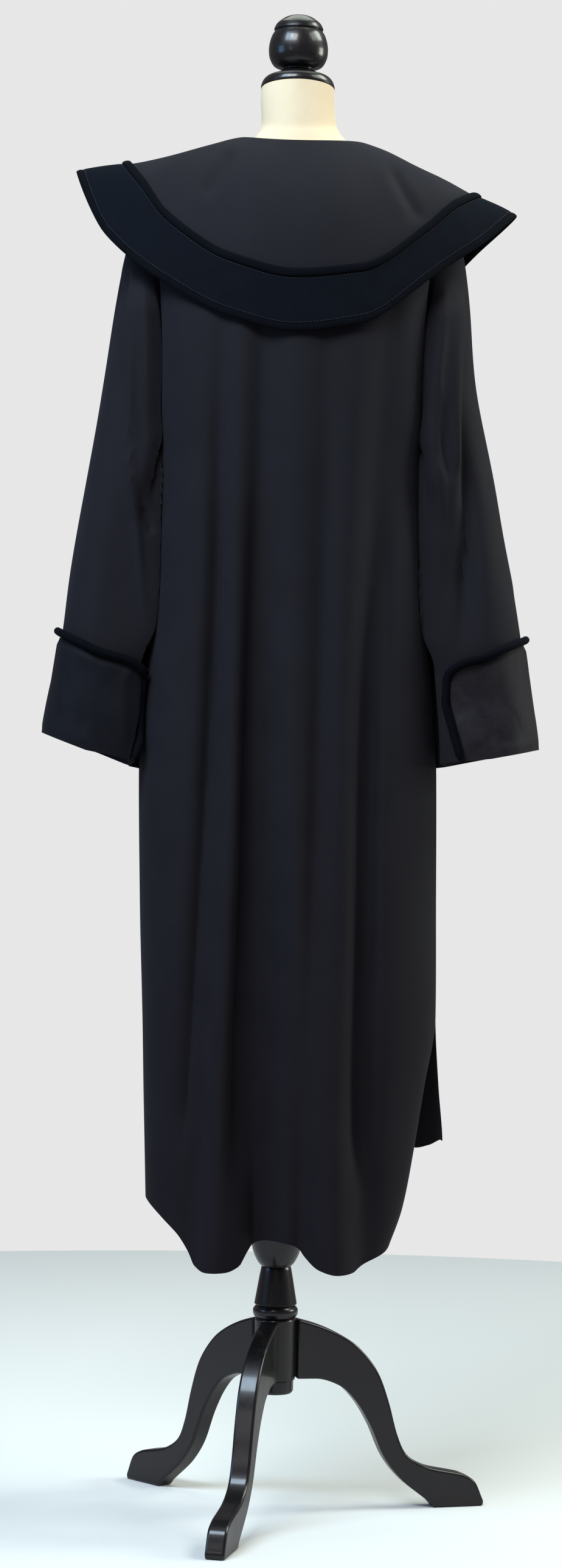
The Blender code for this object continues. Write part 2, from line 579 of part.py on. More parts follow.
def open_seams(grid, half, column, side):
    """Move a panel's side column back from its seams by half a seam gap."""
    shoulder = slice(0, SHOULDER_STEPS + 1)
    armhole = slice(SHOULDER_STEPS + 1, SHOULDER_STEPS + ARMHOLE_STEPS)
    seam = slice(SHOULDER_STEPS + ARMHOLE_STEPS, None)
    grid[shoulder, column, 1] += half * SEAM_GAP / 2
    grid[SHOULDER_STEPS, column, 0] -= side * SEAM_GAP / 2
    grid[armhole, column, 0] -= side * SEAM_GAP / 2
    grid[seam, column, 1] += half * SEAM_GAP / 2


def make_back(materials):
    """Back panel: one width from the shoulder seams to the hem."""
    left, left_out = edge_rows(1, 1)
    right, right_out = edge_rows(-1, 1)
    turns = np.tile(np.linspace(pi / 2, -pi / 2, BACK_COLUMNS + 1), (len(left), 1))
    near = panel_rows(1, turns, middle_line(len(left)), left, right, BACK_FOLDS)
    out = grid_normals(near)
    out *= np.sign(np.mean(out[..., 1]))
    out[:, 0] = left_out
    out[:, -1] = right_out
    open_seams(near, 1, 0, 1)
    open_seams(near, 1, -1, -1)
    return cloth_wall("robe_back", near, near + ROBE_WALL * out, materials["wool"])


def make_front(name, side, materials):
    """Front panel of one side; the left one laps over the right at the centre front."""
    left, left_out = edge_rows(1, -1)
    right, right_out = edge_rows(-1, -1)
    edge, edge_out = (left, left_out) if side > 0 else (right, right_out)
    middle_x = middle_line(len(edge))
    share = FRONT_LAP / np.abs(edge[:, 0] - middle_x)
    past = np.arcsin(share ** (1.0 / row_squareness()))
    spread = np.linspace(0.0, 1.0, FRONT_COLUMNS + 1)[None, :]
    turns = side * (pi / 2 - (pi / 2 + past[:, None]) * spread)
    near = panel_rows(-1, turns, middle_x, left, right, FRONT_FOLDS)
    if side > 0:
        across = near[..., 0] - middle_x[:, None]
        lifted = smooth_step(FRONT_LAP + FRONT_LAP_EASE, FRONT_LAP + FRONT_LAP_FLAT, across)
        near[..., 1] -= FRONT_LAP_LIFT * lifted
    out = grid_normals(near)
    out *= -np.sign(np.mean(out[..., 1]))
    out[:, 0] = edge_out
    open_seams(near, -1, 0, side)
    return cloth_wall(name, near, near + ROBE_WALL * out, materials["wool"])


def sleeve_turns():
    """Turns of the sleeve's columns round its section, from its upper line over the back."""
    return np.linspace(0.0, 2 * pi, 2 * ARMHOLE_STEPS, endpoint=False)


def lay_on_body(rings, run, turns, side):
    """Lean a sleeve's inner back part in until it lies beside the body."""
    height = rings[..., 2]
    width = column_line(SIDES, "height", "left_back" if side > 0 else "right_back")(height)
    reach = column_line(BACK_PROFILE, "height", "reach")(height)
    power = 2 / (1 - SKIRT_SQUARE)
    share = np.clip(1 - (np.abs(rings[..., 1]) / reach) ** power, 0.0, 1.0)
    clear = SLEEVE_CLEAR + (SLEEVE_CUFF_CLEAR - SLEEVE_CLEAR) * smooth_step(*SLEEVE_CLEAR_RUNS, run)
    beside = width * share ** (1 / power) + clear[:, None]
    lean = SLEEVE_LEAN * smooth_step(*SLEEVE_LEAN_RUNS, run)[:, None]
    lean = lean * smooth_step(*SLEEVE_LEAN_HEIGHTS, height)
    inner = 2 * np.maximum(-np.cos(turns), 0.0) * np.maximum(np.sin(turns), 0.0)
    out = side * rings[..., 0]
    rings[..., 0] = side * np.maximum(out - lean * inner, np.minimum(beside, out))


def sleeve_rings(side):
    """Outer points of a sleeve, a ring for each step down, with their normals and runs."""
    table = SLEEVE_LEFT if side > 0 else SLEEVE_RIGHT
    run = np.linspace(0.0, 1.0, SLEEVE_STEPS + 1) ** SLEEVE_RUN_POWER
    line = {name: column_line(table, "run", name)(run)[:, None] for name in Sleeve._fields[1:]}
    turns = sleeve_turns()
    flat = smooth_step(*SLEEVE_LEAN_RUNS, run) * smooth_step(*SLEEVE_SQUARE_ENDS, run)
    inner_back = (np.cos(turns) < 0) & (np.sin(turns) > 0)
    square = line["square"] + (SLEEVE_INNER_SQUARE - line["square"]) * flat[:, None] * inner_back
    cosine = np.sign(np.cos(turns)) * np.abs(np.cos(turns)) ** square
    sine = np.sign(np.sin(turns)) * np.abs(np.sin(turns)) ** square
    x = (line["outer_x"] * (1 + cosine) + line["inner_x"] * (1 - cosine)) / 2
    z = (line["outer_z"] * (1 + cosine) + line["inner_z"] * (1 - cosine)) / 2
    y = line["centre_y"] + line["half_depth"] * sine
    rings = np.stack([side * x, y, z], axis=-1)
    head = armhole_ring(side)
    blend = (1.0 - smooth_step(0.0, SLEEVE_HEAD_RUN, run))[:, None, None]
    rings += (head - rings[0]) * blend
    rings[0] = head
    lay_on_body(rings, run, turns, side)
    out = grid_normals(rings, closed_round=True)
    out *= np.sign(np.mean(out[..., 0] * side * np.cos(turns) + out[..., 1] * np.sin(turns)))
    out[0] = unit(np.stack([0 * turns, np.sin(turns), np.cos(turns)], axis=-1))
    return rings, out, run


def armhole_ring(side):
    """The sleeve's first ring: just outside the outer edge of the body's armhole."""
    ring = []
    for half in (1, -1):
        points, out = edge_rows(side, half)
        rows = slice(SHOULDER_STEPS, SHOULDER_STEPS + ARMHOLE_STEPS + 1)
        edge = points[rows] + ROBE_WALL * out[rows]
        edge[:, 0] += side * SEAM_GAP
        ring += list(edge[:-1] if half > 0 else edge[:0:-1])
    return np.array(ring)


def make_sleeve(name, side, materials):
    """Set-in sleeve, hanging empty, open at the armhole and the cuff."""
    rings, out, _ = sleeve_rings(side)
    return cloth_wall(name, rings - ROBE_WALL * out, rings, materials["wool"], closed_round=True)


def cuff_base(side):
    """Smooth maps from run down the sleeve and turn round it to its outer surface and normal."""
    rings, out, run = sleeve_rings(side)
    columns = len(sleeve_turns())

    def read(field, down, turn):
        column = np.mod(turn, 2 * pi) / (2 * pi) * columns
        low = int(np.floor(column)) % columns
        high = (low + 1) % columns
        share = column - np.floor(column)
        row = float(np.interp(down, run, np.arange(len(run))))
        first = min(int(row), len(run) - 2)
        part = row - first
        a, b = field[first, low], field[first, high]
        c, d = field[first + 1, high], field[first + 1, low]
        if share > part:
            return a + share * (b - a) + part * (c - b)
        return a + part * (d - a) + share * (c - d)

    def place(down, turn, lift):
        return read(rings, down, turn) + lift * unit(read(out, down, turn))

    return place


def cuff_turns(parts=1):
    """Turns of the cuff's columns, front end to back end: the sleeve's own columns, or parts of them."""
    step = pi / ARMHOLE_STEPS / parts
    inside = np.arange(-int(CUFF_SPREAD / step), int(CUFF_SPREAD / step) + 1) * step
    return np.concatenate([[-CUFF_SPREAD], inside, [CUFF_SPREAD]])


def cuff_top(turn):
    """Run at which the cuff starts, its top corners rounded off towards both ends."""
    share = np.clip(1.0 - (CUFF_SPREAD - abs(turn)) * CUFF_REACH / CUFF_CORNER, 0.0, 1.0)
    return CUFF_START + (1.0 - CUFF_START) * CUFF_CORNER / CUFF_LENGTH * (1.0 - sqrt(1.0 - share ** 2))


def make_cuff(name, side, materials):
    """Turn-back cuff: a satin wall that lies on the sleeve's end, open along the inner arm."""
    place = cuff_base(side)
    turns = cuff_turns()
    near = []
    far = []
    for row in range(CUFF_STEPS + 1):
        starts = [cuff_top(turn) for turn in turns]
        downs = [start + (1.0 - start) * row / CUFF_STEPS for start in starts]
        near.append([place(down, turn, LAY_GAP) for down, turn in zip(downs, turns)])
        far.append([place(down, turn, LAY_GAP + ROBE_WALL) for down, turn in zip(downs, turns)])
    return cloth_wall(name, np.array(near), np.array(far), materials["satin"])


def make_cuff_piping(name, side, materials):
    """Velvet piping up the cuff's front end, along its top edge and down its back end."""
    place = cuff_base(side)
    lift = PIPING_RADIUS + CORD_GAP
    clear = PIPING_END_CLEAR * lift / CUFF_REACH
    top_clear = (1.0 - CUFF_START) * PIPING_TOP_CLEAR * lift / CUFF_LENGTH
    end = CUFF_SPREAD + clear
    downs = np.linspace(*PIPING_END_RUNS, PIPING_END_STEPS)
    path = [place(down, -end, lift) for down in downs[::-1]]
    for turn in cuff_turns(2):
        path.append(place(cuff_top(turn) - top_clear, turn, lift))
    path += [place(down, end, lift) for down in downs]
    return round_cord(name, path, PIPING_RADIUS, materials["velvet"])


def cape_azimuths():
    """Azimuths of the collar's columns, from one front end round the back to the other."""
    return np.linspace(-pi + CAPE_OPENING, pi - CAPE_OPENING, COLLAR_COLUMNS + 1)


def neck_point(azimuth):
    """Point of the robe's neckline at an azimuth."""
    depth = NAPE if cos(azimuth) > 0 else THROAT
    x = NECK_SHIFT + NECK_SIDE[0] * sin(azimuth)
    y = depth[0] * cos(azimuth)
    z = NECK_SIDE[1] + (depth[1] - NECK_SIDE[1]) * cos(azimuth) ** 2
    return np.array([x, y, z])


def cape_grid():
    """Under side of the cape collar, a row for each step from the neck to the outer edge."""
    line = {name: column_line(CAPE, "azimuth", name) for name in Cape._fields[1:]}
    columns = []
    for azimuth in cape_azimuths():
        away = np.array([sin(azimuth), cos(azimuth), 0.0])
        degrees = azimuth * 180 / pi
        neck = neck_point(azimuth) + CAPE_NECK_PROUD * away
        neck[2] += CAPE_NECK_LIFT + away[0] ** 2 * (CAPE_SIDE_LIFT + CAPE_SIDE_TILT * away[0])
        band = float(line["band_reach"](degrees)) * away
        band[2] = float(line["band_z"](degrees))
        edge = float(line["edge_reach"](degrees)) * away
        edge[2] = float(line["edge_z"](degrees))
        fall = unit(band - neck)
        outward = unit(np.array([-fall[2] * away[0], -fall[2] * away[1], hypot(fall[0], fall[1])]))
        bow = float(line["bow"](degrees))
        column = []
        for step in range(CAPE_NECK_ROWS):
            share = step / CAPE_NECK_ROWS
            column.append(neck + (band - neck) * share + outward * bow * sin(pi * share) ** CAPE_BOW_POWER)
        for step in range(CAPE_BAND_ROWS + 1):
            column.append(band + (edge - band) * step / CAPE_BAND_ROWS)
        columns.append(column)
    grid = np.array(columns).transpose(1, 0, 2)
    out = grid_normals(grid)
    return grid, out * np.sign(np.mean(out[..., 2]))


def make_collar(materials):
    """Cape collar, its velvet band and the two rolls that edge the band."""
    grid, out = cape_grid()
    cloth_wall("cape_collar", grid, grid + COLLAR_WALL * out, materials["wool"])
    lift = COLLAR_WALL + SEAM_GAP
    band = slice(CAPE_NECK_ROWS, None)
    near = grid[band] + lift * out[band]
    cloth_wall("collar_band", near, near + VELVET_WALL * out[band], materials["velvet"])
    start = CAPE_NECK_ROWS
    inward = unit(grid[start - 1] - grid[start])
    path = grid[start] + inward * (ROLL_HALF_WIDTH + CORD_GAP)
    path = path + out[start] * (COLLAR_WALL + ROLL_HALF_HEIGHT + CORD_GAP)
    oval_roll("collar_roll_inner", path, inward, out[start], materials["velvet"])
    outward = unit(grid[-1] - grid[-2])
    path = grid[-1] + outward * (ROLL_HALF_WIDTH + EDGE_ROLL_GAP) + out[-1] * (lift + VELVET_WALL) / 2
    oval_roll("collar_roll_outer", path, outward, out[-1], materials["velvet"])


def make_form(materials):
    """Dress form: a smooth torso and neck, closed at the top of the neck and under the hips."""
    turns = np.linspace(0.0, 2 * pi, FORM_COLUMNS, endpoint=False)
    points = []
    for index, ring in enumerate(FORM_RINGS):
        shift = FORM_SHIFT * float(smooth_step(*FORM_SHIFT_FROM, ring.side_z))
        shift *= float(smooth_step(*FORM_SHIFT_UNTIL, ring.side_z))
        square = 1.0 - (1.0 - FORM_SQUARE) * float(smooth_step(*FORM_SQUARE_RINGS, index))
        for turn in turns:
            depth, height = (ring.back, ring.back_z) if cos(turn) > 0 else (ring.front, ring.front_z)
            x = np.sign(sin(turn)) * abs(sin(turn)) ** square * ring.side
            y = np.sign(cos(turn)) * abs(cos(turn)) ** square * depth
            z = ring.side_z + (height - ring.side_z) * abs(cos(turn)) ** ring.fall
            points.append((x + shift, y, z))
    faces = []
    for ring in range(len(FORM_RINGS) - 1):
        for column in range(FORM_COLUMNS):
            after = (column + 1) % FORM_COLUMNS
            a, b = ring * FORM_COLUMNS + column, ring * FORM_COLUMNS + after
            faces.append((a, b, b + FORM_COLUMNS, a + FORM_COLUMNS))
    faces.append(tuple(range(FORM_COLUMNS)))
    last = (len(FORM_RINGS) - 1) * FORM_COLUMNS
    faces.append(tuple(range(last, last + FORM_COLUMNS)))
    return add_object("torso", mesh_from("torso", points, faces), materials["jersey"])


def smooth_outline(points):
    """Run a smooth line through outline points, a few steps between each pair."""
    knots = np.arange(len(points))
    places = np.linspace(0, len(points) - 1, (len(points) - 1) * LEG_CURVE_STEPS + 1)
    reach = smooth_line(knots, [point.reach for point in points])(places)
    height = smooth_line(knots, [point.height for point in points])(places)
    return list(zip(reach, height))


def make_leg(leg, materials):
    """Cabriole leg: a board cut to an outline, its edges rounded, set against the hub."""
    upper = smooth_outline(LEG_UPPER[:-1]) + [(LEG_UPPER[-1].reach, LEG_UPPER[-1].height)]
    under = [(LEG_UNDER[0].reach, LEG_UNDER[0].height)] + smooth_outline(LEG_UNDER[1:])
    build = bmesh.new()
    hub = LEG_UPPER[0].reach
    corners = [build.verts.new((hub + (reach - hub) * leg.length, -LEG_THICKNESS / 2, height))
               for reach, height in upper + under]
    side = build.faces.new(corners)
    copied = bmesh.ops.extrude_face_region(build, geom=[side])["geom"]
    moved = [item for item in copied if isinstance(item, bmesh.types.BMVert)]
    bmesh.ops.translate(build, verts=moved, vec=(0, LEG_THICKNESS, 0))
    bmesh.ops.recalc_face_normals(build, faces=build.faces)
    mesh = bpy.data.meshes.new(leg.name)
    build.to_mesh(mesh)
    build.free()
    board = add_object(leg.name, mesh, materials["lacquer"])
    board.rotation_euler = (0, 0, radians(90 - leg.azimuth))
    rounding = board.modifiers.new("edge_round", "BEVEL")
    rounding.width = LEG_EDGE_ROUND
    rounding.segments = 1
    rounding.limit_method = "ANGLE"
    rounding.angle_limit = LEG_ROUND_ANGLE
    return board


def make_stand(materials):
    """Neck cap, finial, column and three legs of the stand."""
    lacquer = materials["lacquer"]
    cap = turned("neck_cap", NECK_CAP_PROFILE, lacquer)
    for corner in cap.data.vertices:
        reach = hypot(corner.co.x, corner.co.y)
        corner.co.z += corner.co.y * NECK_CAP_SLOPE * float(smooth_step(*NECK_CAP_FLANGE, reach))
    turned("finial", FINIAL_PROFILE, lacquer)
    turned("pole", POLE_PROFILE, lacquer)
    turned("bulb", BULB_PROFILE, lacquer)
    turned("cone", CONE_PROFILE, lacquer)
    turned("bead_ring", BEAD_PROFILE, lacquer)
    turned("hub", HUB_PROFILE, lacquer)
    turned("hub_plug", PLUG_PROFILE, lacquer)
    for leg in LEGS:
        make_leg(leg, materials)


def centre_footprint():
    """Move every piece so that the middle of the model's box stands on the origin."""
    bpy.context.view_layer.update()
    depsgraph = bpy.context.evaluated_depsgraph_get()
    corners = []
    for piece in bpy.context.scene.objects:
        shape = piece.evaluated_get(depsgraph)
        corners += [piece.matrix_world @ vertex.co for vertex in shape.to_mesh().vertices]
        shape.to_mesh_clear()
    corners = np.array(corners)
    middle = (corners.min(axis=0) + corners.max(axis=0)) / 2
    shift = Vector((-middle[0], -middle[1], -corners[:, 2].min()))
    for piece in bpy.context.scene.objects:
        piece.matrix_world = Matrix.Translation(shift) @ piece.matrix_world


def main():
    """Build the robe and the form that wears it."""
    clear_scene()
    materials = {name: make_material(name) for name in FINISHES}
    make_form(materials)
    make_stand(materials)
    make_back(materials)
    make_front("robe_front_left", 1, materials)
    make_front("robe_front_right", -1, materials)
    for word, side in (("left", 1), ("right", -1)):
        make_sleeve(f"sleeve_{word}", side, materials)
        make_cuff(f"cuff_{word}", side, materials)
        make_cuff_piping(f"cuff_piping_{word}", side, materials)
    make_collar(materials)
    centre_footprint()


main()
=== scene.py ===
"""Looks of the judicial robe and of the dress form that wears it.

Metres, +Z up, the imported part's own frame. The robe's front faces -Y, its back +Y, and the wearer's
left is +X. Each piece is worked out about the stand's column and then moved to the column's place.
"""

import logging
from collections.abc import Callable, Sequence
from dataclasses import dataclass, replace
from enum import Enum
from math import pi, radians
from typing import NamedTuple, TypeVar

import bmesh
import bpy
import numpy as np
from mathutils import Matrix, Vector


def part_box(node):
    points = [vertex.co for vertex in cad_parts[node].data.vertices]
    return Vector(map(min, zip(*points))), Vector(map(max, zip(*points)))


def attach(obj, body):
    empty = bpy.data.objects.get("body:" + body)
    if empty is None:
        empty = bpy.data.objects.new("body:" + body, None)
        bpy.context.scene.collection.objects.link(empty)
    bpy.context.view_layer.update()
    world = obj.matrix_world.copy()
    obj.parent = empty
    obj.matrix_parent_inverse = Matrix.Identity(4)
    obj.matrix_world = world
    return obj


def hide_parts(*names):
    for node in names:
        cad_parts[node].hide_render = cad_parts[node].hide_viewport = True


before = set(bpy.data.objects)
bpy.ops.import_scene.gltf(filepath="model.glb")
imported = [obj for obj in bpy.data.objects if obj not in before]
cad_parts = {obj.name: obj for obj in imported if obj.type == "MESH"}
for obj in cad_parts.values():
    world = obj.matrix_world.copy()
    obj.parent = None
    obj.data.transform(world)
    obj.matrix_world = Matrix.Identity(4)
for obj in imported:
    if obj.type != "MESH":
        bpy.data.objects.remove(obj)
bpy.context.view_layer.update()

logging.basicConfig(level=logging.INFO, format="%(levelname)s %(message)s")
log = logging.getLogger("robe")

Array = np.ndarray
Curve = Callable[[Array], Array]
Pair = tuple[float, float]
Triple = tuple[float, float, float]
Socket = bpy.types.NodeSocket
Row = TypeVar("Row")


class Half(Enum):
    """Which half of the garment a surface belongs to, and the sign of its side of the column."""

    BACK = 1
    FRONT = -1


class Wearer(Enum):
    """The wearer's side, and the sign of its X."""

    LEFT = 1
    RIGHT = -1


class Profile(NamedTuple):
    """How far the body's cloth stands from the column at a height."""

    height: float
    reach: float


class Side(NamedTuple):
    """Half widths and depths of the side seams at a height."""

    height: float
    left_back: float
    right_back: float
    left_front: float
    right_front: float
    back_y: float
    front_y: float


class Fold(NamedTuple):
    """A soft fold of the body: its place, half widths, and how far the cloth moves out."""

    chest_x: float
    hip_x: float
    hem_x: float
    left_width: float
    right_width: float
    chest_out: float
    hip_out: float
    hem_out: float


class Hem(NamedTuple):
    """The hem's height at a share of the half width."""

    share: float
    height: float


class SleeveRing(NamedTuple):
    """A section of a sleeve: its upper line, under line, half depth and place front to back."""

    run: float
    outer_x: float
    outer_z: float
    inner_x: float
    inner_z: float
    half_depth: float
    centre_y: float
    square: float


class Cape(NamedTuple):
    """The collar's band and edge at an azimuth, in degrees, and how far the neck part bows out."""

    azimuth: float
    band_reach: float
    band_z: float
    edge_reach: float
    edge_z: float
    bow: float


class Ring(NamedTuple):
    """A ring of the dress form: reach and height at the side, back and front, and how it falls."""

    side: float
    side_z: float
    back: float
    back_z: float
    front: float
    front_z: float
    fall: float


class Turn(NamedTuple):
    """Radius and height of a point on a turned piece's outside."""

    radius: float
    height: float


class Point(NamedTuple):
    """A point of a leg board's outline."""

    reach: float
    height: float


class Leg(NamedTuple):
    """A leg's name, azimuth in degrees and length."""

    name: str
    azimuth: float
    length: float


class Crease(NamedTuple):
    """A crease: a line of places (x, z) seen from its half, how far it moves the cloth
    out (less than nothing for a trough), its half width on either hand and how it fades at its ends."""

    line: tuple[Pair, ...]
    out: float
    width: float
    other_width: float = 0.0
    fade_start: float = 0.25
    fade_end: float = 0.25


class Slack(NamedTuple):
    """An uneven, low waviness: which one it is, the rough length of its waves and its height."""

    seed: int
    length: float
    height: float


def rows_of(kind: type[Row], *rows: Sequence[float]) -> list[Row]:
    """Make a table's rows from their numbers."""
    return [kind(*row) for row in rows]


# Profiles of the body, from the neck down: height, then how far the cloth stands from the column
BACK_PROFILE = rows_of(
    Profile,
    (1.5965, 0.058), (1.575, 0.084), (1.54, 0.104), (1.48, 0.121), (1.4, 0.132), (1.28, 0.134),
    (1.1, 0.128), (0.9, 0.124), (0.62, 0.125), (0.318, 0.124),
)
FRONT_PROFILE = rows_of(
    Profile,
    (1.548, 0.07), (1.52, 0.095), (1.47, 0.114), (1.4, 0.126), (1.28, 0.125), (1.1, 0.121),
    (0.9, 0.123), (0.62, 0.13), (0.43, 0.134),
)

# Side seam: half width of the robe on the wearer's left and right, at the back and at the front
SIDES = rows_of(
    Side,
    (1.235, 0.156, 0.156, 0.156, 0.156, 0.0, 0.0),
    (1.15, 0.1575, 0.158, 0.1575, 0.158, 0.0, 0.0),
    (1.07, 0.16, 0.162, 0.16, 0.162, 0.0, 0.0),
    (0.983, 0.167, 0.169, 0.167, 0.169, 0.0, 0.0),
    (0.9, 0.1705, 0.175, 0.1705, 0.175, 0.0, 0.0),
    (0.72, 0.1665, 0.1783, 0.1665, 0.1783, 0.0, 0.0),
    (0.585, 0.161, 0.1803, 0.161, 0.1803, 0.0, 0.0),
    (0.505, 0.158, 0.168, 0.156, 0.186, 0.01, -0.016),
    (0.434, 0.155, 0.157, 0.152, 0.193, 0.02, -0.032),
    (0.364, 0.152, 0.144, 0.15, 0.195, 0.03, -0.036),
    (0.31, 0.15, 0.124, 0.149, 0.196, 0.036, -0.04),
)

# Soft folds: place across the panel at chest, hip and hem, half widths, and how far the cloth moves out
BACK_FOLDS = rows_of(
    Fold,
    (0.079, 0.081, 0.102, 0.014, 0.014, -0.004, -0.007, -0.008),
    (0.062, 0.06, 0.07, 0.016, 0.016, 0.002, 0.006, 0.017),
    (0.035, 0.028, 0.028, 0.014, 0.024, -0.005, -0.016, -0.033),
    (0.0, -0.008, -0.06, 0.02, 0.026, 0.002, 0.006, 0.018),
    (-0.038, -0.036, -0.03, 0.014, 0.016, -0.0025, -0.006, -0.008),
    (-0.076, -0.064, -0.07, 0.016, 0.016, 0.002, 0.005, 0.006),
    (-0.116, -0.093, -0.104, 0.016, 0.016, -0.004, -0.012, -0.012),
)
FRONT_FOLDS = rows_of(
    Fold,
    (0.11, 0.112, 0.12, 0.016, 0.018, -0.003, -0.007, -0.012),
    (0.078, 0.082, 0.088, 0.02, 0.018, 0.002, 0.007, 0.018),
    (0.05, 0.052, 0.054, 0.013, 0.015, -0.003, -0.009, -0.022),
    (0.022, 0.024, 0.024, 0.014, 0.014, 0.001, 0.004, 0.01),
    (-0.046, -0.05, -0.056, 0.018, 0.014, -0.003, -0.008, -0.02),
    (-0.08, -0.086, -0.092, 0.018, 0.02, 0.002, 0.007, 0.019),
    (-0.112, -0.118, -0.128, 0.016, 0.016, -0.003, -0.007, -0.011),
)
FOLD_HEIGHTS = (1.42, 0.95, 0.32)
FOLD_FADE = (1.36, 1.5)

# Hem: its height at each share of the half width, 1 at the left side seam and -1 at the right one
BACK_HEM = rows_of(
    Hem,
    (1.0, 0.374), (0.85, 0.354), (0.76, 0.34), (0.68, 0.32), (0.61, 0.304), (0.5, 0.2985),
    (0.38, 0.299), (0.29, 0.305), (0.25, 0.317), (0.2, 0.328), (0.04, 0.334), (-0.12, 0.331),
    (-0.2, 0.326), (-0.26, 0.317), (-0.37, 0.304), (-0.5, 0.299), (-0.64, 0.3), (-0.73, 0.304),
    (-0.95, 0.318), (-1.0, 0.324),
)
FRONT_HEM = rows_of(
    Hem,
    (1.0, 0.432), (0.8, 0.4325), (0.59, 0.421), (0.36, 0.4365), (0.16, 0.424), (0.0, 0.428),
    (-0.29, 0.436), (-0.47, 0.422), (-0.66, 0.426), (-0.85, 0.421), (-0.93, 0.426), (-1.0, 0.437),
)

# Sleeve sections from the armhole down: upper line, under line, half depth and place front to back
SLEEVE_LEFT = rows_of(
    SleeveRing,
    (0.0, 0.178, 1.54, 0.156, 1.235, 0.062, 0.0, 1.0),
    (0.08, 0.199, 1.47, 0.1605, 1.214, 0.066, 0.0, 0.98),
    (0.28, 0.222, 1.33, 0.162, 1.15, 0.071, -0.001, 0.94),
    (0.46, 0.241, 1.201, 0.164, 1.085, 0.075, -0.003, 0.92),
    (0.64, 0.2585, 1.09, 0.168, 1.03, 0.079, -0.006, 0.9),
    (0.8, 0.266, 1.023, 0.173, 0.975, 0.082, -0.008, 0.9),
    (1.0, 0.2845, 0.911, 0.177, 0.871, 0.084, -0.01, 0.92),
)
SLEEVE_RIGHT = rows_of(
    SleeveRing,
    (0.0, 0.178, 1.54, 0.156, 1.235, 0.062, 0.0, 1.0),
    (0.08, 0.2005, 1.468, 0.1605, 1.214, 0.066, 0.0, 0.98),
    (0.28, 0.2155, 1.337, 0.163, 1.15, 0.071, -0.001, 0.94),
    (0.46, 0.2445, 1.187, 0.166, 1.085, 0.075, -0.003, 0.92),
    (0.64, 0.2685, 1.07, 0.1705, 1.03, 0.079, -0.006, 0.9),
    (0.8, 0.2765, 1.024, 0.1755, 0.975, 0.082, -0.008, 0.9),
    (1.0, 0.295, 0.901, 0.181, 0.8775, 0.084, -0.01, 0.92),
)

# Cape collar by azimuth, 0 at the back and positive towards the wearer's left, in degrees: the
# velvet band's inner edge, the collar's outer edge, and how far the neck part bows out from straight
CAPE = rows_of(
    Cape,
    (-180, 0.1419, 1.4412, 0.1511, 1.3908, 0.022),
    (-150, 0.1523, 1.4501, 0.162, 1.4025, 0.02),
    (-120, 0.1815, 1.4941, 0.1947, 1.4564, 0.02),
    (-105, 0.2035, 1.5226, 0.2256, 1.5033, 0.009),
    (-90, 0.2185, 1.5438, 0.2515, 1.529, 0.002),
    (-75, 0.1985, 1.527, 0.2215, 1.4923, 0.01),
    (-60, 0.177, 1.4912, 0.186, 1.4521, 0.019),
    (-30, 0.1508, 1.4364, 0.1536, 1.3892, 0.024),
    (0, 0.1384, 1.4278, 0.1402, 1.378, 0.025),
    (30, 0.1474, 1.447, 0.1512, 1.3963, 0.022),
    (60, 0.174, 1.5017, 0.1904, 1.4483, 0.018),
    (75, 0.1928, 1.551, 0.2246, 1.4977, 0.008),
    (90, 0.206, 1.5765, 0.2495, 1.57, -0.003),
    (120, 0.1861, 1.5062, 0.1996, 1.4667, 0.018),
    (150, 0.1523, 1.4536, 0.1619, 1.4059, 0.02),
    (180, 0.1419, 1.4412, 0.1511, 1.3908, 0.022),
)

# Dress form: rings from the top of the neck down, with side, back and front reach and heights, and
# how fast each ring falls away from its sides: 1 is straight, more is rounder
FORM_RINGS = rows_of(
    Ring,
    (0.043, 1.6717, 0.043, 1.676, 0.043, 1.6674, 1.0),
    (0.0432, 1.647, 0.0432, 1.648, 0.0432, 1.64, 2.0),
    (0.044, 1.631, 0.044, 1.624, 0.044, 1.61, 2.0),
    (0.0475, 1.621, 0.047, 1.612, 0.047, 1.594, 2.0),
    (0.056, 1.611, 0.051, 1.599, 0.051, 1.577, 1.7),
    (0.069, 1.599, 0.057, 1.583, 0.057, 1.556, 1.4),
    (0.108, 1.5785, 0.072, 1.56, 0.07, 1.532, 1.2),
    (0.143, 1.5574, 0.083, 1.538, 0.083, 1.51, 1.2),
    (0.169, 1.5438, 0.092, 1.512, 0.093, 1.486, 1.2),
    (0.169, 1.525, 0.098, 1.485, 0.099, 1.46, 1.2),
    (0.158, 1.49, 0.102, 1.45, 0.103, 1.43, 1.4),
    (0.14, 1.42, 0.105, 1.39, 0.108, 1.38, 2.0),
    (0.128, 1.3, 0.095, 1.29, 0.102, 1.29, 2.0),
    (0.112, 1.19, 0.08, 1.19, 0.088, 1.19, 2.0),
    (0.132, 1.07, 0.093, 1.07, 0.093, 1.07, 2.0),
    (0.144, 0.97, 0.102, 0.97, 0.097, 0.97, 2.0),
    (0.14, 0.9, 0.1, 0.9, 0.093, 0.9, 2.0),
    (0.132, 0.872, 0.093, 0.872, 0.086, 0.872, 2.0),
    (0.115, 0.86, 0.078, 0.86, 0.072, 0.86, 2.0),
)

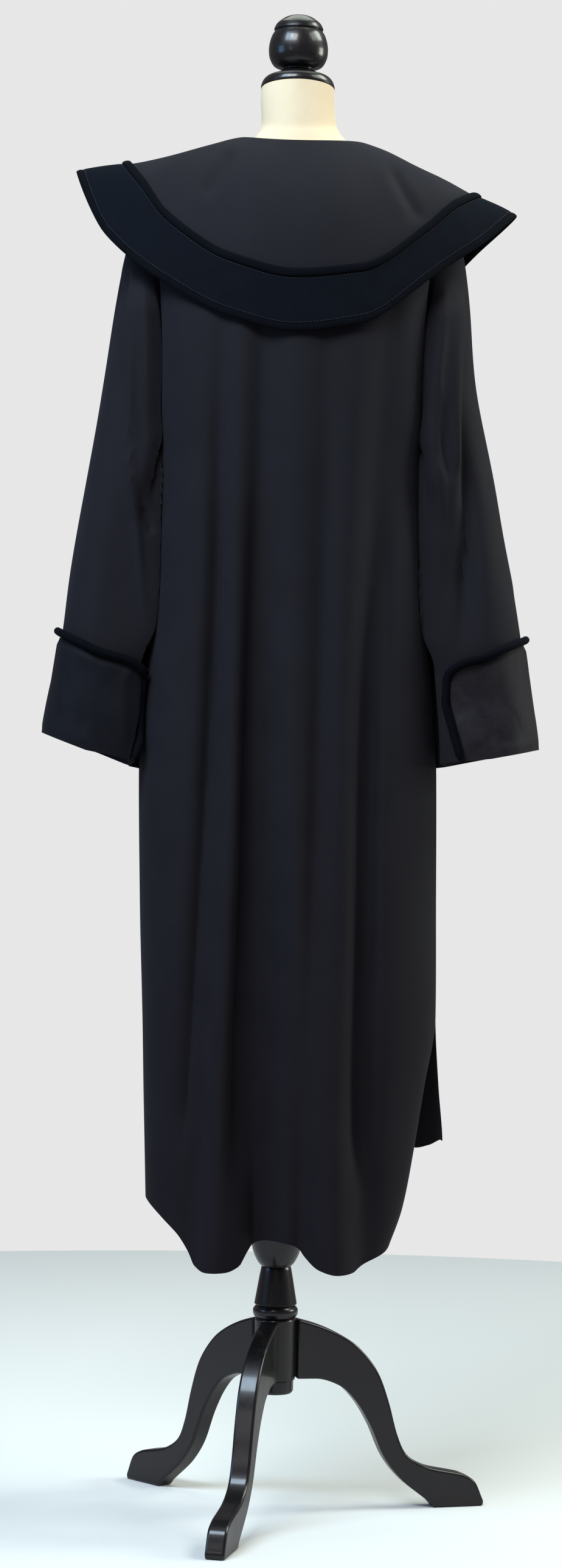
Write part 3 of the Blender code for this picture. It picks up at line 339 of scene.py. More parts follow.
# Turned pieces: radius and height down each outer side
FINIAL_PROFILE = rows_of(
    Turn,
    (0.0, 1.7596), (0.013, 1.7576), (0.0204, 1.7535), (0.0262, 1.7485), (0.029, 1.743),
    (0.0288, 1.7416), (0.0272, 1.741), (0.0308, 1.7359), (0.0336, 1.728), (0.0347, 1.721),
    (0.0347, 1.715), (0.0338, 1.709), (0.0306, 1.702), (0.027, 1.6985), (0.0215, 1.6968),
    (0.018, 1.6964), (0.018, 1.6948), (0.0, 1.6948),
)
NECK_CAP_PROFILE = rows_of(
    Turn,
    (0.0, 1.6945), (0.0172, 1.6945), (0.021, 1.6928), (0.0293, 1.6887), (0.0376, 1.6844),
    (0.0415, 1.68), (0.0432, 1.6755), (0.0434, 1.6732), (0.0424, 1.672), (0.0, 1.672),
)
BULB_PROFILE = rows_of(
    Turn,
    (0.0, 0.43), (0.02, 0.43), (0.026, 0.418), (0.031, 0.39), (0.0325, 0.36), (0.0315, 0.335),
    (0.0286, 0.311), (0.0225, 0.296), (0.0165, 0.289), (0.0, 0.289),
)
CONE_PROFILE = rows_of(
    Turn,
    (0.0, 0.2887), (0.0165, 0.2887), (0.018, 0.286), (0.025, 0.246), (0.0235, 0.244), (0.0, 0.244),
)
BEAD_PROFILE = rows_of(
    Turn,
    (0.0, 0.2437), (0.023, 0.2437), (0.0258, 0.2405), (0.0265, 0.237), (0.0258, 0.233), (0.023, 0.2295),
    (0.0, 0.2295),
)
HUB_PROFILE = rows_of(
    Turn,
    (0.0, 0.2292), (0.0225, 0.2292), (0.0243, 0.2275), (0.0243, 0.157), (0.0, 0.157),
)
PLUG_PROFILE = rows_of(
    Turn,
    (0.0, 0.1567), (0.0225, 0.1567), (0.0225, 0.144), (0.02, 0.141), (0.0, 0.141),
)
POLE_PROFILE = rows_of(
    Turn,
    (0.0, 0.8597), (0.016, 0.8597), (0.016, 0.4303), (0.0, 0.4303),
)

# Cabriole leg board: outline points of its upper and under edges, from the hub out to the toe
LEG_UPPER = rows_of(
    Point,
    (0.0247, 0.228), (0.055, 0.2186), (0.095, 0.1975), (0.125, 0.1625), (0.139, 0.1265), (0.15, 0.088),
    (0.161, 0.0655), (0.187, 0.049), (0.232, 0.0385), (0.2465, 0.0305), (0.2585, 0.006), (0.258, 0.0),
)
LEG_UNDER = rows_of(
    Point,
    (0.197, 0.0), (0.191, 0.007), (0.154, 0.0365), (0.134, 0.062), (0.116, 0.101), (0.0975, 0.13),
    (0.078, 0.148), (0.05, 0.157), (0.0247, 0.1575),
)

# Each leg's azimuth in degrees, 0 at the back and positive towards the wearer's left, and its length
LEGS = [Leg("leg_back", 14.0, 1.0), Leg("leg_left", 137.0, 0.97), Leg("leg_right", -105.0, 1.0)]

# Creases, seen from their own half: place (x, z), move out, half widths, fades
BACK_CREASES = (
    Crease(((0.041, 1.39), (0.037, 1.13), (0.036, 0.8), (0.04, 0.58), (0.042, 0.36)),
           -0.0165, 0.01, 0.015, 0.5, 0.1),
    Crease(((0.082, 1.39), (0.081, 1.12), (0.087, 0.91), (0.096, 0.71), (0.105, 0.54), (0.113, 0.4)),
           -0.0115, 0.006, 0.013, 0.3, 0.1),
    Crease(((-0.05, 1.36), (-0.04, 1.0), (-0.03, 0.6), (-0.026, 0.45)), -0.0014, 0.007, 0.01),
    Crease(((-0.112, 1.24), (-0.1, 0.98), (-0.0965, 0.7), (-0.094, 0.53), (-0.096, 0.38)),
           -0.0105, 0.011, 0.013, 0.4, 0.1),
)
FRONT_CREASES = (
    Crease(((0.052, 1.34), (0.054, 0.96), (0.05, 0.5)), -0.0018, 0.006, 0.01, 0.3, 0.1),
    Crease(((0.112, 1.2), (0.116, 0.9), (0.122, 0.5)), -0.0012, 0.006, 0.009),
    Crease(((-0.048, 1.32), (-0.052, 0.98), (-0.058, 0.5)), -0.0018, 0.01, 0.006, 0.3, 0.1),
    Crease(((-0.118, 1.16), (-0.12, 0.88), (-0.126, 0.52)), -0.0012, 0.009, 0.006),
)
SLEEVE_CREASES = {
    Wearer.LEFT: {
        Half.BACK: (
            Crease(((0.188, 1.46), (0.188, 1.34), (0.1845, 1.22), (0.1785, 1.16), (0.171, 1.09),
                    (0.162, 1.01)), 0.0064, 0.006, 0.0036, 0.1, 0.5),
            Crease(((0.197, 1.46), (0.196, 1.34), (0.193, 1.22), (0.187, 1.14)),
                   -0.0062, 0.006, 0.022, 0.1, 0.6),
            Crease(((0.172, 1.175), (0.163, 1.155), (0.158, 1.14)), -0.003, 0.004),
        ),
        Half.FRONT: (
            Crease(((0.196, 1.4), (0.19, 1.2), (0.186, 1.06)), 0.0026, 0.007, 0.01),
            Crease(((0.176, 1.2), (0.206, 1.12), (0.226, 1.06)), -0.0022, 0.008),
        ),
    },
    Wearer.RIGHT: {
        Half.BACK: (
            Crease(((-0.192, 1.44), (-0.194, 1.29), (-0.197, 1.22), (-0.196, 1.185)),
                   0.006, 0.0034, 0.008, 0.1),
            Crease(((-0.176, 1.42), (-0.167, 1.31), (-0.168, 1.245), (-0.1725, 1.205), (-0.176, 1.17),
                    (-0.175, 1.1), (-0.168, 1.04)), 0.0042, 0.0055, 0.012, 0.2, 0.3),
            Crease(((-0.172, 1.31), (-0.177, 1.26), (-0.184, 1.228), (-0.193, 1.205)),
                   -0.0052, 0.007, 0.007, 0.4, 0.2),
            Crease(((-0.199, 1.42), (-0.202, 1.3), (-0.2045, 1.19), (-0.202, 1.1), (-0.203, 1.06),
                    (-0.197, 1.0)), -0.014, 0.016, 0.0075, 0.4, 0.3),
            Crease(((-0.262, 1.1), (-0.292, 1.0)), -0.0022, 0.009),
        ),
        Half.FRONT: (
            Crease(((-0.206, 1.38), (-0.204, 1.2), (-0.21, 1.06)), 0.0026, 0.007, 0.01),
            Crease(((-0.186, 1.16), (-0.224, 1.08), (-0.246, 1.02)), -0.0024, 0.008),
        ),
    },
}
CUFF_CREASES = {
    Wearer.LEFT: {
        Half.BACK: (
            Crease(((0.18, 1.0), (0.19, 0.95), (0.186, 0.9)), 0.0016, 0.006),
            Crease(((0.24, 1.01), (0.232, 0.95), (0.238, 0.9)), -0.0016, 0.008),
            Crease(((0.262, 0.98), (0.256, 0.93)), 0.0014, 0.006),
        ),
        Half.FRONT: (
            Crease(((0.196, 0.99), (0.204, 0.93), (0.198, 0.89)), 0.0016, 0.007),
            Crease(((0.24, 0.99), (0.246, 0.92)), -0.0014, 0.008),
        ),
    },
    Wearer.RIGHT: {
        Half.BACK: (
            Crease(((-0.206, 1.0), (-0.226, 0.965), (-0.258, 0.925), (-0.272, 0.9)),
                   -0.0062, 0.01, 0.016, 0.1, 0.3),
            Crease(((-0.196, 0.94), (-0.226, 0.9)), 0.0024, 0.012),
        ),
        Half.FRONT: (
            Crease(((-0.206, 0.99), (-0.236, 0.94), (-0.262, 0.9)), -0.0022, 0.01, 0.014),
            Crease(((-0.2, 0.93), (-0.226, 0.9)), 0.0016, 0.01),
        ),
    },
}
CAPE_CREASES = {
    Half.BACK: (
        Crease(((0.072, 1.592), (0.086, 1.56), (0.106, 1.522)), -0.0052, 0.007, 0.012),
        Crease(((-0.106, 1.575), (-0.128, 1.535), (-0.15, 1.5)), -0.005, 0.007, 0.012),
        Crease(((-0.096, 1.578), (-0.114, 1.535), (-0.13, 1.5)), 0.002, 0.008, 0.012),
    ),
    Half.FRONT: (
        Crease(((0.07, 1.56), (0.096, 1.53), (0.112, 1.49)), -0.0014, 0.01),
        Crease(((-0.078, 1.56), (-0.098, 1.53), (-0.118, 1.49)), -0.0014, 0.01),
    ),
}


@dataclass(frozen=True)
class ClothSizes:
    """Walls and gaps of the cloth, in metres."""

    robe_wall: float = 0.0016
    collar_wall: float = 0.002
    velvet_wall: float = 0.0015
    seam_gap: float = 0.0003
    lay_gap: float = 0.0006


@dataclass(frozen=True)
class BodySizes:
    """Seams and sections of the robe's body, in metres, and its grid in steps."""

    neck_side: Pair = (0.074, 1.6005)
    neck_shift: float = -0.007
    shoulder_tip: Pair = (0.178, 1.54)
    underarm: Pair = (0.156, 1.235)
    armhole_depth: float = 0.062
    underarm_lift: float = 0.02
    armhole_hollow: float = 0.016
    hollow_power: float = 1.5
    pinch: float = 0.03
    pinch_spread: float = 0.6
    nape: Pair = (0.058, 1.5965)
    throat: Pair = (0.07, 1.548)
    yoke_drop_back: float = 0.052
    yoke_drop_front: float = 0.044
    front_lap: float = 0.016
    front_lap_lift: float = 0.0034
    front_lap_ease: float = 0.03
    front_lap_flat: float = 0.002
    skirt_square: float = 0.2
    fold_sideways: float = 0.6
    fold_end_power: float = 0.5
    hem_power: float = 3.0
    neck_shift_steps: float = 5.0
    pinch_steps: float = 4.0
    shoulder_steps: float = 3.0
    armhole_steps: float = 8.0
    skirt_steps: float = 12.0
    rows_in_shoulder: int = 9
    rows_in_armhole: int = 44
    rows_in_skirt: int = 118
    back_columns: int = 176
    front_columns: int = 84
    ease_rows: float = 4.0
    ease_edge: float = 0.12
    crease_rows: Pair = (3.0, 7.0)
    slack: Slack = Slack(3, 0.11, 0.0006)


@dataclass(frozen=True)
class SleeveSizes:
    """Grid and turned-back cuff of a sleeve, in metres and radians."""

    rows: int = 150
    columns: int = 252
    run_power: float = 1.1
    head_run: float = 0.3
    lean: float = 0.03
    lean_runs: Pair = (0.02, 0.14)
    lean_heights: Pair = (1.26, 1.215)
    clear: float = 0.0034
    cuff_clear: float = 0.0155
    clear_runs: Pair = (0.62, 0.78)
    inner_square: float = 0.5
    square_ends: Pair = (0.82, 0.66)
    tuck_spread: float = 0.4
    tuck_clear: float = -0.001
    strip_y: float = 0.083
    strip_rise: float = 0.008
    strip_dip: float = 0.011
    dip_reach: Pair = (0.002, 0.024)
    strip_from: Pair = (0.012, 0.036)
    strip_top: Pair = (1.455, 1.395)
    strip_end: Pair = (1.15, 1.225)
    strip_reach: Pair = (0.172, 0.205)
    lap: float = 0.007
    underarm_lap: float = 0.006
    underarm_height: float = 1.252
    underarm_spread: float = 0.024
    lap_heights: tuple[float, float, float, float] = (1.47, 1.33, 1.15, 1.225)
    lap_reach: float = 0.048
    lap_share: Pair = (0.3, 1.0)
    facing: Pair = (-0.15, 0.25)
    crease_runs: Pair = (0.01, 0.1)
    slack: Slack = Slack(11, 0.09, 0.0006)
    cuff_start: float = 0.8
    cuff_spread: float = radians(150)
    back_ends_left: Pair = (radians(126), radians(116))
    back_ends_right: Pair = (radians(115), radians(103))
    cuff_corner: float = 0.034
    cuff_length: float = 0.105
    cuff_reach: float = 0.075
    cuff_rows: int = 34
    cuff_columns: int = 150
    cuff_crowding: float = 1.15
    cuff_slack: Slack = Slack(23, 0.05, 0.0007)
    cuff_lift: float = 0.0012
    cuff_lift_until: float = 0.1
    cuff_hold: float = 0.7
    cuff_hold_from: float = 0.9
    piping_radius: float = 0.0045
    piping_gap: float = 0.0012
    piping_top_clear: float = 1.42
    piping_end_clear: float = 1.14
    piping_runs: Pair = (0.87, 0.996)
    piping_sides: int = 12
    piping_crowding: float = 1.4
    piping_points: int = 131
    piping_end_points: int = 14


@dataclass(frozen=True)
class CollarSizes:
    """Rolls, lifts and grid of the cape collar, in metres, radians and steps."""

    roll_half_width: float = 0.005
    roll_half_height: float = 0.0021
    roll_gap: float = 0.0005
    edge_roll_gap: float = -0.0012
    roll_sides: int = 14
    neck_lift: float = 0.0032
    side_lift: float = 0.0042
    side_tilt: float = 0.0025
    neck_proud: float = 0.0026
    bow_power: float = 0.9
    opening: float = radians(2.0)
    columns: int = 300
    neck_rows: int = 26
    band_rows: int = 14
    band_puff: float = 0.0007
    ditch_inset: float = 0.001
    ease_rows: float = 1.6
    eased_from: int = 3
    creased_from: int = 5
    facing: Pair = (-0.02, 0.03)
    slack: Slack = Slack(31, 0.1, 0.0005)
    slack_stretch: float = 1.3


@dataclass(frozen=True)
class FormSizes:
    """Dress form: squareness, lean of the neck and grid."""

    square: float = 0.92
    square_rings: Pair = (5, 10)
    shift: float = -0.0035
    shift_from: Pair = (1.66, 1.61)
    shift_until: Pair = (1.56, 1.6)
    columns: int = 112
    rows_per_ring: int = 5
    map_radius: float = 0.11
    sharp_angle: float = radians(60)


@dataclass(frozen=True)
class StandSizes:
    """Turned pieces and leg boards of the stand, in metres."""

    sides: int = 72
    corner_angle: float = radians(32)
    curve_steps: int = 4
    leg_thickness: float = 0.0232
    leg_round: float = 0.003
    leg_round_steps: int = 4
    leg_curve_steps: int = 7
    round_angle: float = radians(50)
    cap_slope: float = 0.1
    cap_flange: Pair = (0.0225, 0.043)
    lip_round: float = 0.0007
    lip_steps: int = 2
    lip_angle: float = radians(28)


# How a crease's line is followed, and how the waves of slack cloth vary
CREASE_STEPS = 6
SLACK_WAVES = 9
SLACK_TURN = 0.9
SLACK_LENGTHS = (0.7, 1.8)
SLACK_SLOPE = 0.5
# The squared share of its thickness that a roll keeps at its very ends
ROLL_END = 0.04


def ease(low: float, high: float, value: Array | float) -> Array:
    """Ease from 0 at low to 1 at high."""
    share = np.clip((np.asarray(value, float) - low) / (high - low), 0.0, 1.0)
    return share * share * (3.0 - 2.0 * share)


def smooth_line(knots: Sequence[float], values: Sequence[float]) -> Curve:
    """Make a smooth curve through values that swings past none of them.

    Args:
        knots: Places of the values, rising or falling.
        values: The value at each place.

    Returns:
        A function from places to values, level past both ends.
    """
    at = np.asarray(knots, float)
    held = np.asarray(values, float)
    if at[0] > at[-1]:
        at, held = at[::-1], held[::-1]
    steps = np.diff(held) / np.diff(at)
    before, after = steps[:-1], steps[1:]
    level = before * after <= 0
    inner = np.where(level, 0.0, 2 * before * after / np.where(level, 1.0, before + after))
    slopes = np.concatenate([steps[:1], inner, steps[-1:]])

    def read(place: Array) -> Array:
        """Read the curve at places.

        Args:
            place: The places.

        Returns:
            The values there.
        """
        place = np.clip(np.asarray(place, float), at[0], at[-1])
        left = np.clip(np.searchsorted(at, place, side="right") - 1, 0, len(at) - 2)
        span = at[left + 1] - at[left]
        t = (place - at[left]) / span
        start = (1 + 2 * t) * (1 - t) ** 2 * held[left] + t * (1 - t) ** 2 * span * slopes[left]
        end = t * t * (3 - 2 * t) * held[left + 1] + t * t * (t - 1) * span * slopes[left + 1]
        return start + end

    return read


def column_line(table: Sequence[NamedTuple], knot: str, value: str) -> Curve:
    """Read one column of a table as a smooth line over another."""
    return smooth_line([getattr(row, knot) for row in table], [getattr(row, value) for row in table])


def unit(vectors: Array) -> Array:
    """Scale vectors to length one."""
    return vectors / np.maximum(np.linalg.norm(vectors, axis=-1, keepdims=True), 1e-12)


def grid_normals(grid: Array, closed: bool = False) -> Array:
    """Work out the unit normals of a grid of points.

    Args:
        grid: Points, rows by columns by three.
        closed: Whether the columns wrap round.

    Returns:
        A normal for each point.
    """
    if closed:
        wrapped = np.concatenate([grid[:, -2:], grid, grid[:, :2]], axis=1)
        across = np.gradient(wrapped, axis=1)[:, 2:-2]
    else:
        across = np.gradient(grid, axis=1, edge_order=2)
    down = np.gradient(grid, axis=0, edge_order=2)
    return unit(np.cross(across, down))


def eased_rows(grid: Array, spread: float) -> Array:
    """Average a grid gently down its rows, its first and last rows held.

    Args:
        grid: Points, rows by columns by three.
        spread: How many rows the average reaches over.

    Returns:
        The eased grid.
    """
    reach = int(3 * spread)
    first = 2 * grid[:1] - grid[reach:0:-1]
    last = 2 * grid[-1:] - grid[-2:-reach - 2:-1]
    padded = np.concatenate([first, grid, last])
    weights = np.exp(-0.5 * (np.arange(-reach, reach + 1) / spread) ** 2)
    weights /= weights.sum()
    return sum(w * padded[k:k + len(grid)] for k, w in enumerate(weights))


def crease_shift(x: Array, z: Array, creases: Sequence[Crease]) -> Array:
    """Work out how far creases move cloth out.

    Args:
        x: Places across.
        z: Heights.
        creases: The creases.

    Returns:
        The move of each place along the cloth's own normal, in metres.
    """
    shift = np.zeros_like(x)
    for crease in creases:
        knots = np.arange(len(crease.line))
        fine = np.linspace(0, len(crease.line) - 1, CREASE_STEPS * (len(crease.line) - 1) + 1)
        line_x = smooth_line(knots, [place[0] for place in crease.line])(fine)
        line_z = smooth_line(knots, [place[1] for place in crease.line])(fine)
        lengths = np.concatenate([[0.0], np.cumsum(np.hypot(np.diff(line_x), np.diff(line_z)))])
        best = np.full(x.shape, np.inf)
        along = np.zeros_like(x)
        hand = np.zeros_like(x)
        for i in range(len(fine) - 1):
            step_x, step_z = line_x[i + 1] - line_x[i], line_z[i + 1] - line_z[i]
            size = step_x ** 2 + step_z ** 2
            off_x, off_z = x - line_x[i], z - line_z[i]
            part = np.clip((off_x * step_x + off_z * step_z) / size, 0.0, 1.0)
            gap = (off_x - part * step_x) ** 2 + (off_z - part * step_z) ** 2
            closer = gap < best
            best = np.where(closer, gap, best)
            along = np.where(closer, (lengths[i] + part * size ** 0.5) / lengths[-1], along)
            hand = np.where(closer, off_x * step_z - off_z * step_x, hand)
        width = np.where(hand > 0, crease.width, crease.other_width or crease.width)
        fade = ease(0.0, crease.fade_start, along) if crease.fade_start else 1.0
        fade = fade * (1.0 - ease(1.0 - crease.fade_end, 1.0, along) if crease.fade_end else 1.0)
        shift += crease.out * np.exp(-best / width ** 2) * fade
    return shift


def half_creases(grid: Array, facing: Array, span: Pair, creases: dict[Half, Sequence[Crease]]) -> Array:
    """Add up creases that are each seen from their own half.

    Args:
        grid: The cloth's points.
        facing: How far each point faces or lies to the back, less than nothing for the front.
        span: Where in that measure a half's creases come in.
        creases: The creases of each half.

    Returns:
        The move of each point along the cloth's normal, in metres.
    """
    moved = np.zeros(facing.shape)
    for half in Half:
        seen = ease(*span, facing * half.value)
        moved += seen * crease_shift(grid[..., 0], grid[..., 2], creases[half])
    return moved


def ripple(x: Array, z: Array, slack: Slack, other: int = 0) -> Array:
    """Work out an uneven, low waviness, as slack cloth has.

    Args:
        x: Places across.
        z: Heights.
        slack: Which waviness, how long and how high.
        other: Added to its seed, for another waviness of the same size.

    Returns:
        The move of each place along the cloth's normal, in metres.
    """
    chance = np.random.default_rng(slack.seed + other)
    total = np.zeros_like(x)
    for _ in range(SLACK_WAVES):
        turn = chance.uniform(-SLACK_TURN, SLACK_TURN)
        rate = 2 * pi / (slack.length * chance.uniform(*SLACK_LENGTHS))
        start = chance.uniform(0, 2 * pi)
        total += np.sin(rate * (x * np.cos(turn) + z * np.sin(turn) * SLACK_SLOPE) + start)
    return total * slack.height / SLACK_WAVES ** 0.5


def tube_faces(rings: int, sides: int) -> list[tuple[int, ...]]:
    """List the faces of a tube and of its two end caps.

    Args:
        rings: How many rings of points it has.
        sides: How many points a ring has.

    Returns:
        The faces.
    """
    faces = []
    for ring in range(rings - 1):
        for side in range(sides):
            a, b = ring * sides + side, ring * sides + (side + 1) % sides
            faces.append((a, b, b + sides, a + sides))
    last = (rings - 1) * sides
    return faces + [tuple(range(sides)), tuple(range(last, last + sides))]


def corner_points(mesh: bpy.types.Mesh) -> Array:
    """Read which point each corner of a mesh's faces lies at.

    Args:
        mesh: The mesh.

    Returns:
        The points' numbers.
    """
    corner = np.zeros(len(mesh.loops), np.int64)
    mesh.loops.foreach_get("vertex_index", corner)
    return corner


def lay_spots(mesh: bpy.types.Mesh, across: Array, along: Array) -> None:
    """Lay a map of the cloth over a mesh, in metres for each corner."""
    spots = np.stack([across, along], axis=1).astype(np.float32)
    mesh.uv_layers.new(name="cloth").data.foreach_set("uv", spots.ravel())


class Finish(Enum):
    """The finishes that the pieces wear."""

    WOOL = "wool"
    SATIN = "satin"
    VELVET = "velvet"
    JERSEY = "jersey"
    # painted light: a lighter copy of the satin for the right cuff
    SATIN_WORN = "satin_worn"
    BINDING = "binding"
    LACQUER = "lacquer"
    THREAD = "thread"


@dataclass(frozen=True)
class ClothFinish:
    """Colours, gloss and weave of a cloth, and the tint of the painted shade that darkens its lower part;
    lengths are in metres.
    """

    dark: Triple
    light: Triple
    roughness: float
    specular: float
    sheen: float
    sheen_roughness: float
    sheen_tint: Triple
    mottle: float
    thread: float
    weave_depth: float
    nap: float
    nap_depth: float
    turn: float = 0.0
    anisotropic: float = 0.0
    # painted shade: the tint that darkens the cloth's lower part, standing in for the light falling off
    painted_shade_tint: Triple = (1.0, 1.0, 1.0)


@dataclass(frozen=True)
class LacquerFinish:
    """Colours, gloss, brush strokes and dust of the stand's black lacquer."""

    clean: Triple = (0.0064, 0.0062, 0.0065)
    dusty: Triple = (0.015, 0.0146, 0.015)
    strokes: float = 260.0
    stroke_stretch: Triple = (1.0, 1.0, 0.12)
    stroke_levels: Pair = (0.3, 0.7)
    stroke_bump: float = 0.05
    stroke_depth: float = 0.0006
    dust: float = 45.0
    dust_levels: Pair = (0.52, 0.8)
    dust_roughness: float = 0.1
    roughness: Pair = (0.29, 0.36)
    specular: float = 0.36
    specular_tint: Triple = (1.0, 0.9, 0.94)
    coat: float = 0.45
    coat_roughness: float = 0.12
    plain: Triple = (0.01, 0.01, 0.01)


# Of every cloth: how its patches spread, how much they and its fibres count, how its gloss varies, how
# uneven its threads are, the heights over which its painted shade towards the hem comes in, and a band
# wave's scale for one metre
PATCH_LEVELS = (0.34, 0.66)
PATCH_SHARE = 0.6
FIBRE_SHARE = 0.4
GLOSS_SPREAD = 0.05
THREAD_WANDER = 0.8
PAINTED_SHADE_HEIGHTS = (0.35, 1.12)
METRE_WAVE = pi / 10

SATIN = ClothFinish(
    dark=(0.0068, 0.0068, 0.0102), light=(0.0094, 0.0094, 0.0138), roughness=0.6, specular=0.1,
    sheen=0.02, sheen_roughness=0.35, sheen_tint=(0.6, 0.64, 0.76), mottle=0.04, thread=0.0008,
    weave_depth=0.06, nap=0.003, nap_depth=0.05, anisotropic=0.3,
)
VELVET = ClothFinish(
    dark=(0.004, 0.005, 0.008), light=(0.0058, 0.0073, 0.0115), roughness=0.92, specular=0.04,
    sheen=0.05, sheen_roughness=0.3, sheen_tint=(0.22, 0.3, 0.5), mottle=0.022, thread=0.0013,
    weave_depth=0.03, nap=0.0011, nap_depth=0.34,
)
CLOTHS = {
    Finish.WOOL: ClothFinish(
        dark=(0.0117, 0.0111, 0.0147), light=(0.0152, 0.0144, 0.019), roughness=0.78, specular=0.08,
        sheen=0.03, sheen_roughness=0.45, sheen_tint=(0.55, 0.6, 0.72), mottle=0.055, thread=0.0011,
        # painted shade: the wool is darker and more purple towards the hem, where less light falls
        weave_depth=0.1, nap=0.0016, nap_depth=0.16, turn=radians(40), painted_shade_tint=(0.88, 0.79, 0.8),
    ),
    Finish.SATIN: SATIN,
    Finish.VELVET: VELVET,
    # painted light: the satin made lighter for the right cuff, standing in for the stronger light that
    # falls on it
    Finish.SATIN_WORN: replace(
        SATIN, dark=(0.0112, 0.0099, 0.0127), light=(0.0262, 0.0235, 0.0284), specular=0.08, mottle=0.048,
    ),
    Finish.BINDING: replace(
        VELVET, dark=(0.0026, 0.003, 0.0046), light=(0.004, 0.0048, 0.0074), sheen=0.03,
    ),
    Finish.JERSEY: ClothFinish(
        dark=(0.86, 0.685, 0.47), light=(0.93, 0.765, 0.545), roughness=0.82, specular=0.3,
        sheen=0.15, sheen_roughness=0.4, sheen_tint=(1.0, 0.95, 0.85), mottle=0.05, thread=0.0009,
        weave_depth=0.16, nap=0.0018, nap_depth=0.1,
    ),
    Finish.THREAD: ClothFinish(
        dark=(0.016, 0.02, 0.03), light=(0.03, 0.037, 0.054), roughness=0.75, specular=0.4,
        sheen=0.15, sheen_roughness=0.3, sheen_tint=(0.6, 0.65, 0.8), mottle=0.01, thread=0.0004,
        weave_depth=0.2, nap=0.001, nap_depth=0.1,
    ),
}


class Graph:
    """Short ways to build one material's nodes."""

    def __init__(self, name: str) -> None:
        """Start a material that holds a Principled shader.

        Args:
            name: The material's name.
        """
        self.material = bpy.data.materials.new(name)
        self.material.use_nodes = True
        self.tree = self.material.node_tree
        self.shader = self.tree.nodes["Principled BSDF"]
        self.spots = self.node("ShaderNodeTexCoord")

    def node(self, kind: str, **settings: object) -> bpy.types.Node:
        """Add a node.

        Args:
            kind: Its type.
            settings: Its own properties.

        Returns:
            The node.
        """
        made = self.tree.nodes.new(kind)
        for name, value in settings.items():
            setattr(made, name, value)
        return made

    def feed(self, socket: Socket, value: object) -> None:
        """Link an output to an input, or set the input's constant."""
        if isinstance(value, Socket):
            self.tree.links.new(value, socket)
        else:
            socket.default_value = value

    def dress(self, values: dict[str, object]) -> None:
        """Set or link the shader's inputs by name."""
        for name, value in values.items():
            self.feed(self.shader.inputs[name], value)

    def noise(self, scale: float, detail: float = 3.0, rough: float = 0.55, where: object = None,
              stretch: Triple | None = None) -> Socket:
        """Add a noise texture.

        Args:
            scale: Its waves to the metre.
            detail: Its octaves.
            rough: How strong its finer octaves are.
            where: The coordinates it reads, or the object's own.
            stretch: How its three axes are scaled first.

        Returns:
            The noise's value socket.
        """
        spot = where or self.spots.outputs["Object"]
        if stretch:
            mapping = self.node("ShaderNodeMapping")
            self.feed(mapping.inputs["Vector"], spot)
            mapping.inputs["Scale"].default_value = stretch
            spot = mapping.outputs["Vector"]
        made = self.node("ShaderNodeTexNoise")
        self.feed(made.inputs["Vector"], spot)
        made.inputs["Scale"].default_value = scale
        made.inputs["Detail"].default_value = detail
        made.inputs["Roughness"].default_value = rough
        return made.outputs["Fac"]

    def spread(self, value: Socket, low: float, high: float,
               out_low: float = 0.0, out_high: float = 1.0) -> Socket:
        """Spread a value from one range onto another, smoothly.

        Args:
            value: The value's socket.
            low: Where its range starts.
            high: Where its range ends.
            out_low: Where the new range starts.
            out_high: Where the new range ends.

        Returns:
            The spread value's socket.
        """
        made = self.node("ShaderNodeMapRange", interpolation_type="SMOOTHSTEP")
        self.feed(made.inputs["Value"], value)
        ends = {"From Min": low, "From Max": high, "To Min": out_low, "To Max": out_high}
        for name, number in ends.items():
            made.inputs[name].default_value = number
        return made.outputs["Result"]

    def mix(self, share: object, first: object, second: object) -> Socket:
        """Mix two colours.

        Args:
            share: How much of the second colour shows.
            first: A colour or a socket.
            second: A colour or a socket.

        Returns:
            The mixed colour's socket.
        """
        made = self.node("ShaderNodeMix", data_type="RGBA")
        self.feed(made.inputs[0], share)
        for socket, value in zip(made.inputs[6:8], (first, second)):
            self.feed(socket, (*value, 1.0) if isinstance(value, tuple) else value)
        return made.outputs[2]

    def sums(self, operation: str, *values: object) -> Socket:
        """Combine numbers with one arithmetic operation.

        Args:
            operation: Which one.
            values: Numbers or sockets.

        Returns:
            The result's socket.
        """
        made = self.node("ShaderNodeMath", operation=operation)
        for socket, value in zip(made.inputs, values):
            self.feed(socket, value)
        return made.outputs[0]

    def bump(self, height: object, strength: float, distance: float,
             under: object = None) -> Socket:
        """Add a bump.

        Args:
            height: The height socket.
            strength: How strong it is, from 0 to 1.
            distance: Its depth, in metres.
            under: A bump that it lies on.

        Returns:
            The normal's socket.
        """
        made = self.node("ShaderNodeBump")
        made.inputs["Strength"].default_value = strength
        made.inputs["Distance"].default_value = distance
        self.feed(made.inputs["Height"], height)
        if under is not None:
            self.feed(made.inputs["Normal"], under)
        return made.outputs["Normal"]


